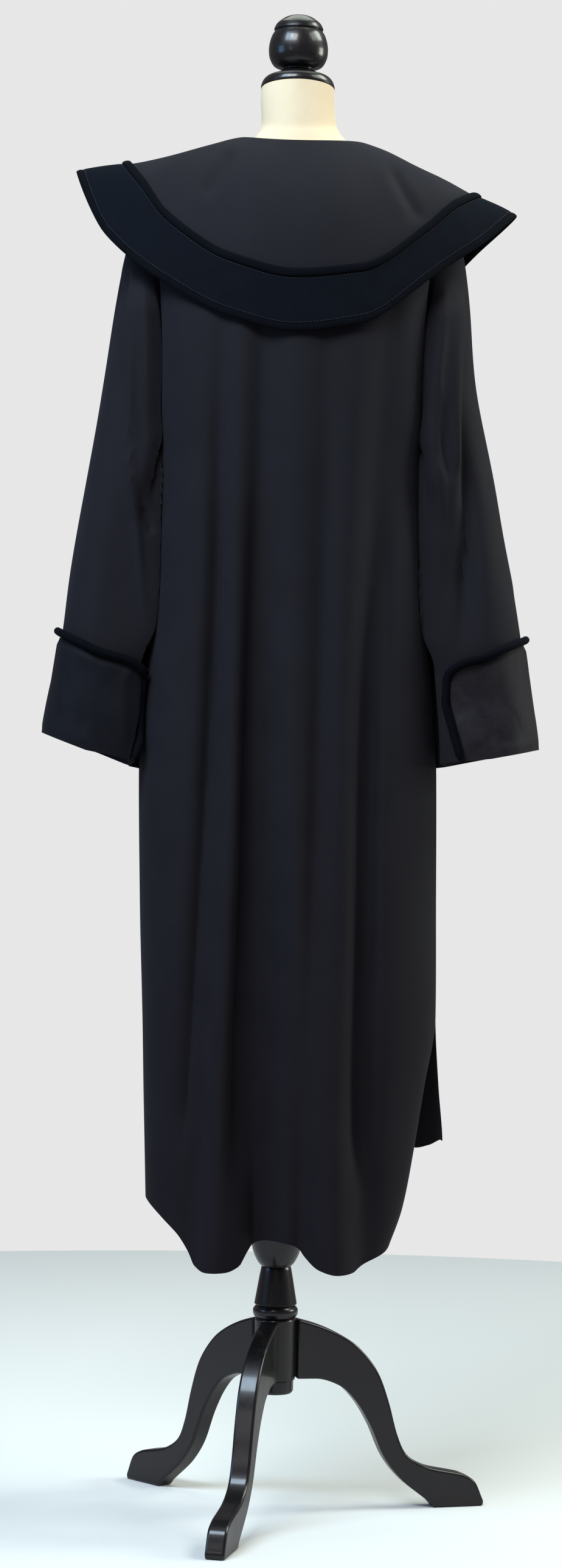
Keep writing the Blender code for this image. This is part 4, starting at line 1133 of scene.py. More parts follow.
class Materials:
    """The procedural materials, made once each."""

    def __init__(self) -> None:
        """Build every finish."""
        self.made = {finish: self.cloth(finish, CLOTHS[finish]) for finish in CLOTHS}
        self.made[Finish.LACQUER] = self.lacquer(LacquerFinish())

    def __getitem__(self, finish: Finish) -> bpy.types.Material:
        """Look a finish up."""
        return self.made[finish]

    @staticmethod
    def cloth(finish: Finish, look: ClothFinish) -> bpy.types.Material:
        """Build a woven, knitted or piled cloth.

        Args:
            finish: Which finish it is.
            look: Its colours, gloss and weave.

        Returns:
            The material.
        """
        graph = Graph(finish.value)
        patches = graph.spread(graph.noise(1.0 / look.mottle, 4.0, 0.6), *PATCH_LEVELS)
        fibres = graph.noise(1.0 / look.nap, 2.0, 0.7)
        share = graph.sums("ADD", graph.sums("MULTIPLY", patches, PATCH_SHARE),
                           graph.sums("MULTIPLY", fibres, FIBRE_SHARE))
        # Painted shade: from 1.12 m down to 0.35 m the colour fades to a darker, tinted copy, standing in
        # for the light falling off towards the hem.
        painted_shade_dark = tuple(part * tint for part, tint in zip(look.dark, look.painted_shade_tint))
        painted_shade_light = tuple(part * tint for part, tint in zip(look.light, look.painted_shade_tint))
        height = graph.node("ShaderNodeSeparateXYZ")
        graph.feed(height.inputs["Vector"], graph.spots.outputs["Object"])
        painted_shade_share = graph.spread(height.outputs["Z"], *PAINTED_SHADE_HEIGHTS, 1.0, 0.0)
        colour = graph.mix(painted_shade_share, graph.mix(share, look.dark, look.light),
                           graph.mix(share, painted_shade_dark, painted_shade_light))
        rough = graph.spread(patches, 0.0, 1.0, look.roughness - GLOSS_SPREAD,
                             look.roughness + GLOSS_SPREAD)
        weave = []
        for axis, turn in (("X", look.turn), ("Y", -look.turn / 3)):
            mapping = graph.node("ShaderNodeMapping")
            graph.feed(mapping.inputs["Vector"], graph.spots.outputs["UV"])
            mapping.inputs["Rotation"].default_value = (0.0, 0.0, turn)
            wave = graph.node("ShaderNodeTexWave", wave_type="BANDS", bands_direction=axis)
            graph.feed(wave.inputs["Vector"], mapping.outputs["Vector"])
            wave.inputs["Scale"].default_value = METRE_WAVE / look.thread
            wave.inputs["Distortion"].default_value = THREAD_WANDER
            wave.inputs["Detail"].default_value = 1.0
            weave.append(wave.outputs["Fac"])
        threads = graph.sums("MULTIPLY", weave[0], weave[1])
        normal = graph.bump(threads, look.weave_depth, look.thread / 3)
        normal = graph.bump(fibres, look.nap_depth, look.nap / 3, normal)
        graph.dress({
            "Base Color": colour, "Roughness": rough, "Normal": normal, "Specular IOR Level": look.specular,
            "Sheen Weight": look.sheen, "Sheen Roughness": look.sheen_roughness,
            "Sheen Tint": (*look.sheen_tint, 1.0), "Anisotropic": look.anisotropic,
        })
        graph.material.diffuse_color = (*look.light, 1.0)
        return graph.material

    @staticmethod
    def lacquer(look: LacquerFinish) -> bpy.types.Material:
        """Build the stand's brushed black lacquer: faint brush marks, thin dust and worn gloss.

        Args:
            look: Its colours, gloss, strokes and dust.

        Returns:
            The material.
        """
        graph = Graph(Finish.LACQUER.value)
        strokes = graph.noise(look.strokes, 3.0, 0.6, stretch=look.stroke_stretch)
        dust = graph.spread(graph.noise(look.dust, 5.0, 0.7), *look.dust_levels)
        colour = graph.mix(dust, look.clean, look.dusty)
        rough = graph.sums("ADD", graph.spread(strokes, *look.stroke_levels, *look.roughness),
                           graph.sums("MULTIPLY", dust, look.dust_roughness))
        graph.dress({
            "Base Color": colour, "Roughness": rough,
            "Normal": graph.bump(strokes, look.stroke_bump, look.stroke_depth),
            "Specular IOR Level": look.specular, "Specular Tint": (*look.specular_tint, 1.0),
            "Coat Weight": look.coat, "Coat Roughness": look.coat_roughness,
        })
        graph.material.diffuse_color = (*look.plain, 1.0)
        return graph.material


class Maker:
    """Makes the pieces' meshes and puts them at the column's place."""

    def __init__(self, materials: Materials) -> None:
        """Read the column's place off the pole.

        Args:
            materials: The finishes.
        """
        self.materials = materials
        low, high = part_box("pole")
        self.column = np.array([(low.x + high.x) / 2, (low.y + high.y) / 2, 0.0])
        self.count = 0

    def add(self, name: str, mesh: bpy.types.Mesh, finish: Finish, stands_for: Sequence[str],
            sharp: float = radians(45)) -> bpy.types.Object:
        """Link a mesh as one piece that rides on the part.

        Args:
            name: The piece's name.
            mesh: Its mesh, about the column.
            finish: Its finish.
            stands_for: The solids that it stands for.
            sharp: The angle above which its edges stay sharp.

        Returns:
            The piece.
        """
        mesh.transform(Matrix.Translation(Vector(self.column)))
        mesh.materials.append(self.materials[finish])
        mesh.shade_smooth()
        mesh.set_sharp_from_angle(angle=sharp)
        piece = bpy.data.objects.new(name, mesh)
        bpy.context.scene.collection.objects.link(piece)
        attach(piece, "root")
        if stands_for:
            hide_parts(*stands_for)
        self.count += 1
        log.info("%s: %d faces, %s", name, len(mesh.polygons), finish.value)
        return piece

    def wall(self, name: str, near: Array, far: Array, finish: Finish, stands_for: Sequence[str],
             closed: bool = False) -> None:
        """Build a closed cloth wall between two grids, with a map of the cloth in metres.

        Args:
            name: The piece's name.
            near: The wall's inner grid.
            far: Its outer grid.
            finish: Its finish.
            stands_for: The solids that it stands for.
            closed: Whether the columns wrap round.
        """
        rows, columns = near.shape[:2]
        size = rows * columns
        spans = columns if closed else columns - 1
        row, span = np.meshgrid(np.arange(rows - 1), np.arange(spans), indexing="ij")
        a = (row * columns + span).ravel()
        b = (row * columns + (span + 1) % columns).ravel()
        inner = np.stack([a, b, b + columns, a + columns], axis=1)
        outer = inner[:, ::-1] + size
        edges = [(r, s, r, (s + 1) % columns) for r in (0, rows - 1) for s in range(spans)]
        if not closed:
            edges += [(r, s, r + 1, s) for s in (0, columns - 1) for r in range(rows - 1)]
        corners = np.array([(p * columns + q, u * columns + v) for p, q, u, v in edges])
        rims = np.stack([corners[:, 0], corners[:, 1], corners[:, 1] + size, corners[:, 0] + size], axis=1)
        points = np.concatenate([near.reshape(-1, 3), far.reshape(-1, 3)])
        mesh = self.mesh_from(name, points, np.concatenate([inner, outer, rims]).tolist())
        self.lay_map(mesh, near, closed)
        self.add(name, mesh, finish, stands_for)

    @staticmethod
    def lay_map(mesh: bpy.types.Mesh, near: Array, closed: bool) -> None:
        """Lay a UV map in metres over a wall's two faces.

        Args:
            mesh: The wall's mesh.
            near: Its inner grid.
            closed: Whether the columns wrap round.
        """
        rows, columns = near.shape[:2]
        ring = np.concatenate([near, near[:, :1]], axis=1) if closed else near
        across = np.linalg.norm(np.diff(ring, axis=1), axis=2).mean(axis=0)
        down = np.linalg.norm(np.diff(near, axis=0), axis=2).mean(axis=1)
        u = np.concatenate([[0.0], np.cumsum(across)])
        v = np.concatenate([[0.0], np.cumsum(down)])
        face = np.repeat(np.arange(len(mesh.polygons)), [len(p.vertices) for p in mesh.polygons])
        place = corner_points(mesh) % (rows * columns)
        column = place % columns
        if closed:
            highest = np.zeros(len(mesh.polygons), np.int64)
            lowest = np.full(len(mesh.polygons), columns)
            np.maximum.at(highest, face, column)
            np.minimum.at(lowest, face, column)
            wraps = (highest[face] - lowest[face]) > columns // 2
            column = np.where(wraps & (column == 0), columns, column)
        lay_spots(mesh, u[column], -v[place // columns])

    def roll(self, name: str, path: Array, across: Array, out: Array, half: Pair,
             sides: int, finish: Finish, stands_for: Sequence[str]) -> None:
        """Build a closed roll of oval section along a path, its ends rounded off.

        Args:
            name: The piece's name.
            path: Its centre line.
            across: The direction of its width at each point.
            out: The direction of its height at each point.
            half: Half its width and half its height.
            sides: Its sides.
            finish: Its finish.
            stands_for: The solids that it stands for.
        """
        lengths = np.concatenate([[0.0], np.cumsum(np.linalg.norm(np.diff(path, axis=0), axis=1))])
        to_end = np.minimum(lengths, lengths[-1] - lengths) / max(half)
        taper = np.sqrt(np.clip(1.0 - (1.0 - np.clip(to_end, 0.0, 1.0)) ** 2, ROLL_END, 1.0))[:, None, None]
        turns = np.linspace(0.0, 2 * pi, sides, endpoint=False)[None, :, None]
        rings = path[:, None] + taper * (half[0] * np.cos(turns) * across[:, None]
                                         + half[1] * np.sin(turns) * out[:, None])
        mesh = self.mesh_from(name, rings.reshape(-1, 3), tube_faces(len(path), sides))
        corner = corner_points(mesh)
        girth = 2 * pi * (half[0] + half[1]) / 2
        lay_spots(mesh, lengths[corner // sides], (corner % sides) * girth / sides)
        self.add(name, mesh, finish, stands_for)

    @staticmethod
    def mesh_from(name: str, points: Array, faces: Sequence[Sequence[int]]) -> bpy.types.Mesh:
        """Make a mesh whose faces all point out of its closed body.

        Args:
            name: The mesh's name.
            points: Its points.
            faces: Its faces.

        Returns:
            The mesh.
        """
        mesh = bpy.data.meshes.new(name)
        mesh.from_pydata(points, [], faces)
        build = bmesh.new()
        build.from_mesh(mesh)
        bmesh.ops.recalc_face_normals(build, faces=build.faces)
        build.to_mesh(mesh)
        build.free()
        return mesh


class RobeBody:
    """Back and front panels of the robe, from the shoulder seams to the hem."""

    def __init__(self, maker: Maker, cloth: ClothSizes, sizes: BodySizes) -> None:
        """Keep the sizes and read the tables.

        Args:
            maker: Makes the meshes.
            cloth: Walls and gaps.
            sizes: Seams, sections and grid.
        """
        self.maker = maker
        self.cloth = cloth
        self.sizes = sizes
        self.seam = sizes.shoulder_steps + sizes.armhole_steps
        self.end = self.seam + sizes.skirt_steps

    def rows(self) -> Array:
        """Places of the fine rows, in the steps of the seams."""
        s = self.sizes
        return np.concatenate([
            np.linspace(0, s.shoulder_steps, s.rows_in_shoulder, endpoint=False),
            np.linspace(s.shoulder_steps, self.seam, s.rows_in_armhole, endpoint=False),
            np.linspace(self.seam, self.end, s.rows_in_skirt + 1),
        ])

    def hem(self, half: Half) -> Curve:
        """The hem's height at each share of the half width."""
        return column_line(BACK_HEM if half is Half.BACK else FRONT_HEM, "share", "height")

    def edge(self, wearer: Wearer, half: Half, rows: Array) -> tuple[Array, Array]:
        """Work out a panel's side outline: shoulder seam, armhole and side seam.

        Args:
            wearer: The wearer's side.
            half: Back or front.
            rows: Places down the outline, in steps.

        Returns:
            The outline's points and the directions of the wall along it.
        """
        s, side, face = self.sizes, wearer.value, half.value
        rows = np.asarray(rows, float)
        neck = np.array([s.neck_shift + side * s.neck_side[0], 0.0, s.neck_side[1]])
        tip = np.array([side * s.shoulder_tip[0], 0.0, s.shoulder_tip[1]])
        points = neck + (tip - neck) * np.clip(rows / s.shoulder_steps, 0, 1)[:, None]
        slope = unit(tip - neck)
        out = np.tile([-slope[2] * side, 0.0, slope[0] * side], (len(rows), 1))
        turn = pi * np.clip((rows - s.shoulder_steps) / s.armhole_steps, 0, 1)
        across = s.shoulder_tip[0] + (s.underarm[0] - s.shoulder_tip[0]) * turn / pi
        across = across - s.armhole_hollow * np.abs(np.sin(turn)) ** s.hollow_power
        middle_z = (s.shoulder_tip[1] + s.underarm[1]) / 2
        half_z = (s.shoulder_tip[1] - s.underarm[1]) / 2
        arm = np.stack([side * across, face * s.armhole_depth * np.sin(turn),
                        middle_z + half_z * np.cos(turn)], 1)
        flat = ease(pi / 2, pi, turn)
        arm_out = unit(np.stack([side * flat, face * np.sin(turn), np.cos(turn) * (1 - flat)], 1))
        in_arm = (rows >= s.shoulder_steps)[:, None]
        points, out = np.where(in_arm, arm, points), np.where(in_arm, arm_out, out)
        word = f"{wearer.name.lower()}_{half.name.lower()}"
        depth = "back_y" if half is Half.BACK else "front_y"
        low = float(self.hem(half)(side))
        height = s.underarm[1] + (low - s.underarm[1]) * np.clip((rows - self.seam) / s.skirt_steps, 0, 1)
        skirt = np.stack([side * column_line(SIDES, "height", word)(height),
                          column_line(SIDES, "height", depth)(height), height], 1)
        in_skirt = (rows > self.seam)[:, None]
        points = np.where(in_skirt, skirt, points)
        out = np.where(in_skirt, np.array([side, 0.0, 0.0]), out)
        return points, out

    def middle(self, half: Half, rows: Array) -> tuple[Array, Array]:
        """Work out a panel's middle line.

        Args:
            half: Back or front.
            rows: Places down, in steps.

        Returns:
            The line's heights and how far it stands from the column.
        """
        s = self.sizes
        reach = column_line(BACK_PROFILE if half is Half.BACK else FRONT_PROFILE, "height", "reach")
        top = (s.nape if half is Half.BACK else s.throat)[1]
        yoke = top - (s.yoke_drop_back if half is Half.BACK else s.yoke_drop_front)
        knots = (0, s.shoulder_steps, self.seam, self.end)
        underarm = s.underarm[1] + s.underarm_lift
        heights = np.interp(rows, knots, (top, yoke, underarm, float(self.hem(half)(0.0))))
        return heights, reach(heights)

    def square(self, rows: Array) -> Array:
        """How square each row's section is: 1 is an ellipse, less is squarer."""
        return 1.0 - self.sizes.skirt_square * ease(0, self.seam, rows)

    def middle_x(self, rows: Array) -> Array:
        """Where each row's middle lies across."""
        return self.sizes.neck_shift * (1.0 - ease(0, self.sizes.neck_shift_steps, rows))

    @staticmethod
    def turns_at(shares: Array, square: Array) -> Array:
        """Turn even shares of a panel's width into turns round its section."""
        return np.sign(shares) * np.arcsin(np.sin(np.abs(shares) * pi / 2) ** (1.0 / square[:, None]))

    def fold_shift(self, folds: Sequence[Fold], x: Array, height: Array) -> Array:
        """Work out how far the panel's main folds move its cloth out.

        Args:
            folds: The folds.
            x: Places across.
            height: Heights.

        Returns:
            The move of each place, in metres.
        """
        shift = np.zeros_like(x)
        for fold in folds:
            middle = smooth_line(FOLD_HEIGHTS, (fold.chest_x, fold.hip_x, fold.hem_x))(height)
            out = smooth_line(FOLD_HEIGHTS, (fold.chest_out, fold.hip_out, fold.hem_out))(height)
            width = np.where(x > middle, fold.left_width, fold.right_width)
            shift += out * np.exp(-((x - middle) / width) ** 2)
        return shift * (1.0 - ease(*FOLD_FADE, height))

    def panel(self, half: Half, shares: Array, rows: Array) -> Array:
        """Work out a body panel's points, its folds and creases in it.

        Args:
            half: Back or front.
            shares: Places across, from 1 at the left side to -1 at the right, a row for each row.
            rows: Places down, in steps.

        Returns:
            The panel's inner grid.
        """
        s, face = self.sizes, half.value
        heights, reach = self.middle(half, rows)
        square = self.square(rows)
        turns = self.turns_at(shares, square)
        left, _ = self.edge(Wearer.LEFT, half, rows)
        right, _ = self.edge(Wearer.RIGHT, half, rows)
        middle_x = self.middle_x(rows)[:, None]
        edge = np.where((turns > 0)[..., None], left[:, None], right[:, None])
        sine = np.abs(np.sin(turns)) ** square[:, None]
        cosine = np.abs(np.cos(turns)) ** square[:, None]
        x = middle_x + (edge[..., 0] - middle_x) * sine
        past = ease(s.shoulder_steps, s.shoulder_steps + s.pinch_steps, rows)[:, None]
        pinch = ease(0, s.shoulder_steps, rows)[:, None] * (1.0 - past)
        away = pi / 2 - np.abs(turns)
        x = x - np.sign(turns) * s.pinch * pinch * away * np.exp(-(away / s.pinch_spread) ** 2)
        y = edge[..., 1] + (face * reach[:, None] - edge[..., 1]) * cosine
        z = edge[..., 2] + (heights[:, None] - edge[..., 2]) * np.cos(turns) ** 2
        ends = np.abs(np.cos(turns)) ** s.fold_end_power
        shift = self.fold_shift(BACK_FOLDS if half is Half.BACK else FRONT_FOLDS, x, z) * ends
        skirt = np.clip((rows - self.seam) / s.skirt_steps, 0, 1)[:, None]
        low = self.hem(half)(np.sign(turns[-1]) * sine[-1])
        z = z + (low - z[-1]) * skirt ** s.hem_power
        x = x + shift * np.sin(turns) * s.fold_sideways
        y = y + shift * face * np.cos(turns)
        grid = np.stack([x, y, z], axis=-1)
        inside = ease(0.0, s.ease_edge, 1.0 - np.abs(shares))[..., None]
        grid = grid + (eased_rows(grid, s.ease_rows) - grid) * inside
        out = grid_normals(grid)
        out *= np.sign(np.mean(out[..., 1])) * face
        creases = BACK_CREASES if half is Half.BACK else FRONT_CREASES
        moved = crease_shift(grid[..., 0], grid[..., 2], creases)
        moved = moved + ripple(grid[..., 0], grid[..., 2], s.slack, face)
        moved *= inside[..., 0] * ease(*s.crease_rows, rows)[:, None]
        return grid + out * moved[..., None]

    def open_seams(self, grid: Array, half: Half, column: int, wearer: Wearer, rows: Array) -> None:
        """Move a panel's side column back from its seams by half a seam gap, in place.

        Args:
            grid: The panel's points.
            half: Back or front.
            column: Which column it is.
            wearer: The wearer's side.
            rows: Places down, in steps.
        """
        gap, s = self.cloth.seam_gap / 2, self.sizes
        arm = (rows >= s.shoulder_steps) & (rows < self.seam)
        grid[arm, column, 0] -= wearer.value * gap
        grid[~arm, column, 1] += half.value * gap

    def build(self) -> None:
        """Build the back and the two front panels."""
        rows = self.rows()
        s, wall = self.sizes, self.cloth.robe_wall
        shares = np.tile(np.linspace(1.0, -1.0, s.back_columns + 1), (len(rows), 1))
        near = self.panel(Half.BACK, shares, rows)
        out = grid_normals(near)
        out *= np.sign(np.mean(out[..., 1]))
        out[:, 0] = self.edge(Wearer.LEFT, Half.BACK, rows)[1]
        out[:, -1] = self.edge(Wearer.RIGHT, Half.BACK, rows)[1]
        self.open_seams(near, Half.BACK, 0, Wearer.LEFT, rows)
        self.open_seams(near, Half.BACK, -1, Wearer.RIGHT, rows)
        self.maker.wall("back_panel", near, near + wall * out, Finish.WOOL, ["robe_back"])
        for wearer in Wearer:
            word = wearer.name.lower()
            edge, edge_out = self.edge(wearer, Half.FRONT, rows)
            middle_x = self.middle_x(rows)
            past = np.arcsin(s.front_lap / np.abs(edge[:, 0] - middle_x)) * 2 / pi
            spread = np.linspace(0.0, 1.0, s.front_columns + 1)[None, :]
            near = self.panel(Half.FRONT, wearer.value * (1.0 - (1.0 + past[:, None]) * spread), rows)
            if wearer is Wearer.LEFT:
                across = near[..., 0] - middle_x[:, None]
                lifted = ease(s.front_lap + s.front_lap_ease, s.front_lap + s.front_lap_flat, across)
                near[..., 1] -= s.front_lap_lift * lifted
            out = grid_normals(near)
            out *= -np.sign(np.mean(out[..., 1]))
            out[:, 0] = edge_out
            self.open_seams(near, Half.FRONT, 0, wearer, rows)
            self.maker.wall(f"front_panel_{word}", near, near + wall * out, Finish.WOOL,
                            [f"robe_front_{word}"])


class Sleeve:
    """One set-in sleeve with its turned-back cuff and the cuff's velvet piping."""

    def __init__(self, body: RobeBody, wearer: Wearer, sizes: SleeveSizes) -> None:
        """Work out the sleeve's outer surface.

        Args:
            body: The robe's body, whose armhole the sleeve is set into.
            wearer: The wearer's side.
            sizes: Grid and cuff.
        """
        self.body, self.wearer, self.sizes = body, wearer, sizes
        self.cloth, self.maker = body.cloth, body.maker
        self.word = wearer.name.lower()
        self.run = np.linspace(0.0, 1.0, sizes.rows + 1) ** sizes.run_power
        self.turns = np.linspace(0.0, 2 * pi, sizes.columns, endpoint=False)
        self.rings, self.out = self.surface()

    def head(self) -> Array:
        """Work out the sleeve's first ring, just outside the body's armhole.

        Returns:
            The ring's points.
        """
        s = self.body.sizes
        half_turn = np.where(self.turns <= pi, self.turns, 2 * pi - self.turns) / pi
        rows = s.shoulder_steps + s.armhole_steps * half_turn
        wall, gap = self.cloth.robe_wall, self.cloth.seam_gap
        rings = []
        for half in Half:
            points, out = self.body.edge(self.wearer, half, rows)
            rings.append(points + wall * out + np.array([self.wearer.value * gap, 0.0, 0.0]))
        return np.where((self.turns <= pi)[:, None], rings[0], rings[1])

    def surface(self) -> tuple[Array, Array]:
        """Work out the sleeve's outer surface, its creases in it.

        Returns:
            The surface's points and outward directions.
        """
        table = SLEEVE_LEFT if self.wearer is Wearer.LEFT else SLEEVE_RIGHT
        line = {name: column_line(table, "run", name)(self.run)[:, None] for name in SleeveRing._fields[1:]}
        s = self.sizes
        flat = ease(*s.lean_runs, self.run) * ease(*s.square_ends, self.run)
        inner_back = (np.cos(self.turns) < 0) & (np.sin(self.turns) > 0)
        square = line["square"] + (s.inner_square - line["square"]) * flat[:, None] * inner_back
        cosine = np.sign(np.cos(self.turns)) * np.abs(np.cos(self.turns)) ** square
        sine = np.sign(np.sin(self.turns)) * np.abs(np.sin(self.turns)) ** square
        x = (line["outer_x"] * (1 + cosine) + line["inner_x"] * (1 - cosine)) / 2
        z = (line["outer_z"] * (1 + cosine) + line["inner_z"] * (1 - cosine)) / 2
        y = line["centre_y"] + line["half_depth"] * sine
        rings = np.stack([self.wearer.value * x, y, z], axis=-1)
        head = self.head()
        rings += (head - rings[0]) * (1.0 - ease(0.0, s.head_run, self.run))[:, None, None]
        rings[0] = head
        self.lay_on_body(rings)
        self.fill_out(rings)
        out = self.normals(rings)
        moved = half_creases(rings, out[..., 1], s.facing, SLEEVE_CREASES[self.wearer])
        moved += ripple(rings[..., 0] + rings[..., 1], rings[..., 2], s.slack, self.wearer.value)
        moved *= ease(*s.crease_runs, self.run)[:, None]
        rings = rings + out * moved[..., None]
        return rings, self.normals(rings)

    def lay_on_body(self, rings: Array) -> None:
        """Lean the sleeve's inner back part in until it lies beside the body, in place.

        Args:
            rings: The sleeve's points.
        """
        s, side = self.sizes, self.wearer.value
        height = rings[..., 2]
        width = column_line(SIDES, "height", f"{self.word}_back")(height)
        reach = column_line(BACK_PROFILE, "height", "reach")(height)
        power = 2 / (1 - self.body.sizes.skirt_square)
        share = np.clip(1 - (np.abs(rings[..., 1]) / reach) ** power, 0.0, 1.0)
        clear = s.clear + (s.cuff_clear - s.clear) * ease(*s.clear_runs, self.run)
        beside = width * share ** (1 / power) + clear[:, None]
        lean = s.lean * ease(*s.lean_runs, self.run)[:, None] * ease(*s.lean_heights, height)
        inner = 2 * np.maximum(-np.cos(self.turns), 0.0) * np.maximum(np.sin(self.turns), 0.0)
        out = side * rings[..., 0]
        out = np.maximum(out - lean * inner, np.minimum(beside, out))
        tuck = np.exp(-((self.turns - pi) / s.tuck_spread) ** 2)
        tuck = tuck * ease(*s.clear_runs, self.run)[:, None]
        rings[..., 0] = side * (out - tuck * np.maximum(out - width - s.tuck_clear, 0.0))

    def fill_out(self, rings: Array) -> None:
        """Bring the sleeve's back out close beside the armhole seam, in place.

        Args:
            rings: The sleeve's points.
        """
        s, b, side = self.sizes, self.body.sizes, self.wearer.value
        height, out = rings[..., 2], side * rings[..., 0]
        top, low = b.shoulder_tip, b.underarm
        turn = np.arccos(np.clip((2 * height - top[1] - low[1]) / (top[1] - low[1]), -1.0, 1.0))
        seam = top[0] + (low[0] - top[0]) * turn / pi - b.armhole_hollow * np.sin(turn) ** b.hollow_power
        share = ease(0.0, s.strip_rise, out - seam) * (1.0 - ease(*s.strip_reach, out))
        share = share * ease(*s.strip_top, height) * ease(*s.strip_end, height)
        share = share * ease(*s.strip_from, rings[..., 1])
        level = s.strip_y - s.strip_dip * (1.0 - ease(*s.dip_reach, out - seam))
        rings[..., 1] += share * np.maximum(level - rings[..., 1], 0.0)
        lap = s.lap * ease(*s.lap_heights[:2], height) * ease(*s.lap_heights[2:], height)
        lap += s.underarm_lap * np.exp(-((height - s.underarm_height) / s.underarm_spread) ** 2)
        lap = lap * ease(*s.lap_share, share)
        lap = lap * (1.0 - ease(s.strip_rise, s.lap_reach, out - seam))
        rings[..., 0] -= side * lap

    def normals(self, rings: Array) -> Array:
        """Work out the sleeve's outward directions, true to the armhole at its first ring.

        Args:
            rings: The sleeve's points.

        Returns:
            A direction for each point.
        """
        out = grid_normals(rings, closed=True)
        cosine, sine = np.cos(self.turns), np.sin(self.turns)
        out *= np.sign(np.mean(out[..., 0] * self.wearer.value * cosine + out[..., 1] * sine))
        out[0] = unit(np.stack([0 * self.turns, sine, cosine], axis=-1))
        return out

    def place(self, down: Array, turn: Array, lift: Array | float) -> tuple[Array, Array]:
        """Find places on the sleeve.

        Args:
            down: Runs down the sleeve.
            turn: Turns round it.
            lift: How far off its outer surface.

        Returns:
            The places and the outward directions there.
        """
        down, turn = np.broadcast_arrays(np.asarray(down, float), np.asarray(turn, float))
        columns = len(self.turns)
        column = np.mod(turn, 2 * pi) / (2 * pi) * columns
        low = np.floor(column).astype(int) % columns
        share = (column - np.floor(column))[..., None]
        row = np.interp(down, self.run, np.arange(len(self.run)))
        first = np.minimum(row.astype(int), len(self.run) - 2)
        part = (row - first)[..., None]
        found = []
        for field in (self.rings, self.out):
            upper = field[first, low] * (1 - share) + field[first, (low + 1) % columns] * share
            under = field[first + 1, low] * (1 - share) + field[first + 1, (low + 1) % columns] * share
            found.append(upper * (1 - part) + under * part)
        out = unit(found[1])
        return found[0] + np.asarray(lift, float)[..., None] * out, out

    def cuff_top(self, turn: Array) -> Array:
        """Work out where the cuff starts, its top corners rounded off.

        Args:
            turn: Turns round the cuff.

        Returns:
            The run down the sleeve at each turn.
        """
        s = self.sizes
        share = np.clip(1.0 - (s.cuff_spread - np.abs(turn)) * s.cuff_reach / s.cuff_corner, 0.0, 1.0)
        drop = (1.0 - s.cuff_start) * s.cuff_corner / s.cuff_length
        return s.cuff_start + drop * (1.0 - np.sqrt(1.0 - share ** 2))

    def drawn_back(self, down: Array, turn: Array) -> Array:
        """Draw the cuff's back turns in to where its back end lies.

        Args:
            down: Runs down the sleeve.
            turn: Turns round the cuff.

        Returns:
            The turns round the sleeve.
        """
        s = self.sizes
        ends = s.back_ends_left if self.wearer is Wearer.LEFT else s.back_ends_right
        share = np.clip((down - s.cuff_start) / (1.0 - s.cuff_start), 0.0, 1.0)
        end = ends[0] + (ends[1] - ends[0]) * share
        return np.where(turn > 0, turn * end / s.cuff_spread, turn)

    def build_cuff(self) -> None:
        """Build the satin cuff that lies turned back on the sleeve's end."""
        s = self.sizes
        even = np.linspace(-1.0, 1.0, s.cuff_columns + 1)
        turn = s.cuff_spread * np.sign(even) * (1.0 - (1.0 - np.abs(even)) ** s.cuff_crowding)
        start = self.cuff_top(turn)
        share = np.linspace(0.0, 1.0, s.cuff_rows + 1)[:, None]
        down = start + (1.0 - start) * share
        turns = self.drawn_back(down, np.broadcast_to(turn, down.shape))
        near, out = self.place(down, turns, self.cloth.lay_gap)
        moved = half_creases(near, out[..., 1], s.facing, CUFF_CREASES[self.wearer])
        moved += np.abs(ripple(near[..., 0] + near[..., 1], near[..., 2], s.cuff_slack))
        moved = np.maximum(moved + s.cuff_lift, 0.0) * ease(0.0, s.cuff_lift_until, share) * (
            1.0 - s.cuff_hold * ease(s.cuff_hold_from, 1.0, share))
        near = near + out * moved[..., None]
        far = near + out * self.cloth.robe_wall
        # The right cuff wears the lighter copy of the satin: painted light on that cuff.
        finish = Finish.SATIN if self.wearer is Wearer.LEFT else Finish.SATIN_WORN
        self.maker.wall(f"turned_cuff_{self.word}", near, far, finish, [f"cuff_{self.word}"])

    def build_piping(self) -> None:
        """Build the velvet piping up the cuff's front end, along its top and down its back end."""
        s = self.sizes
        lift = s.piping_radius + s.piping_gap
        end = s.cuff_spread + s.piping_end_clear * lift / s.cuff_reach
        clear = (1.0 - s.cuff_start) * s.piping_top_clear * lift / s.cuff_length
        downs = np.linspace(*s.piping_runs, s.piping_end_points)
        even = np.linspace(-1.0, 1.0, s.piping_points)
        turn = s.cuff_spread * np.sign(even) * (1.0 - (1.0 - np.abs(even)) ** s.piping_crowding)
        run = np.concatenate([downs[::-1], self.cuff_top(turn) - clear, downs])
        turns = np.concatenate([np.full(len(downs), -end), turn, np.full(len(downs), end)])
        path, out = self.place(run, self.drawn_back(run, turns), lift)
        path[1:-1] = (path[:-2] + 2 * path[1:-1] + path[2:]) / 4
        tangent = unit(np.gradient(path, axis=0))
        across = unit(np.cross(tangent, out))
        half = (s.piping_radius, s.piping_radius)
        self.maker.roll(f"velvet_piping_{self.word}", path, across, np.cross(across, tangent), half,
                        s.piping_sides, Finish.BINDING, [f"cuff_piping_{self.word}"])

    def build(self) -> None:
        """Build the sleeve, its cuff and its piping."""
        near = self.rings - self.cloth.robe_wall * self.out
        self.maker.wall(f"set_in_sleeve_{self.word}", near, self.rings, Finish.WOOL,
                        [f"sleeve_{self.word}"], closed=True)
        self.build_cuff()
        self.build_piping()


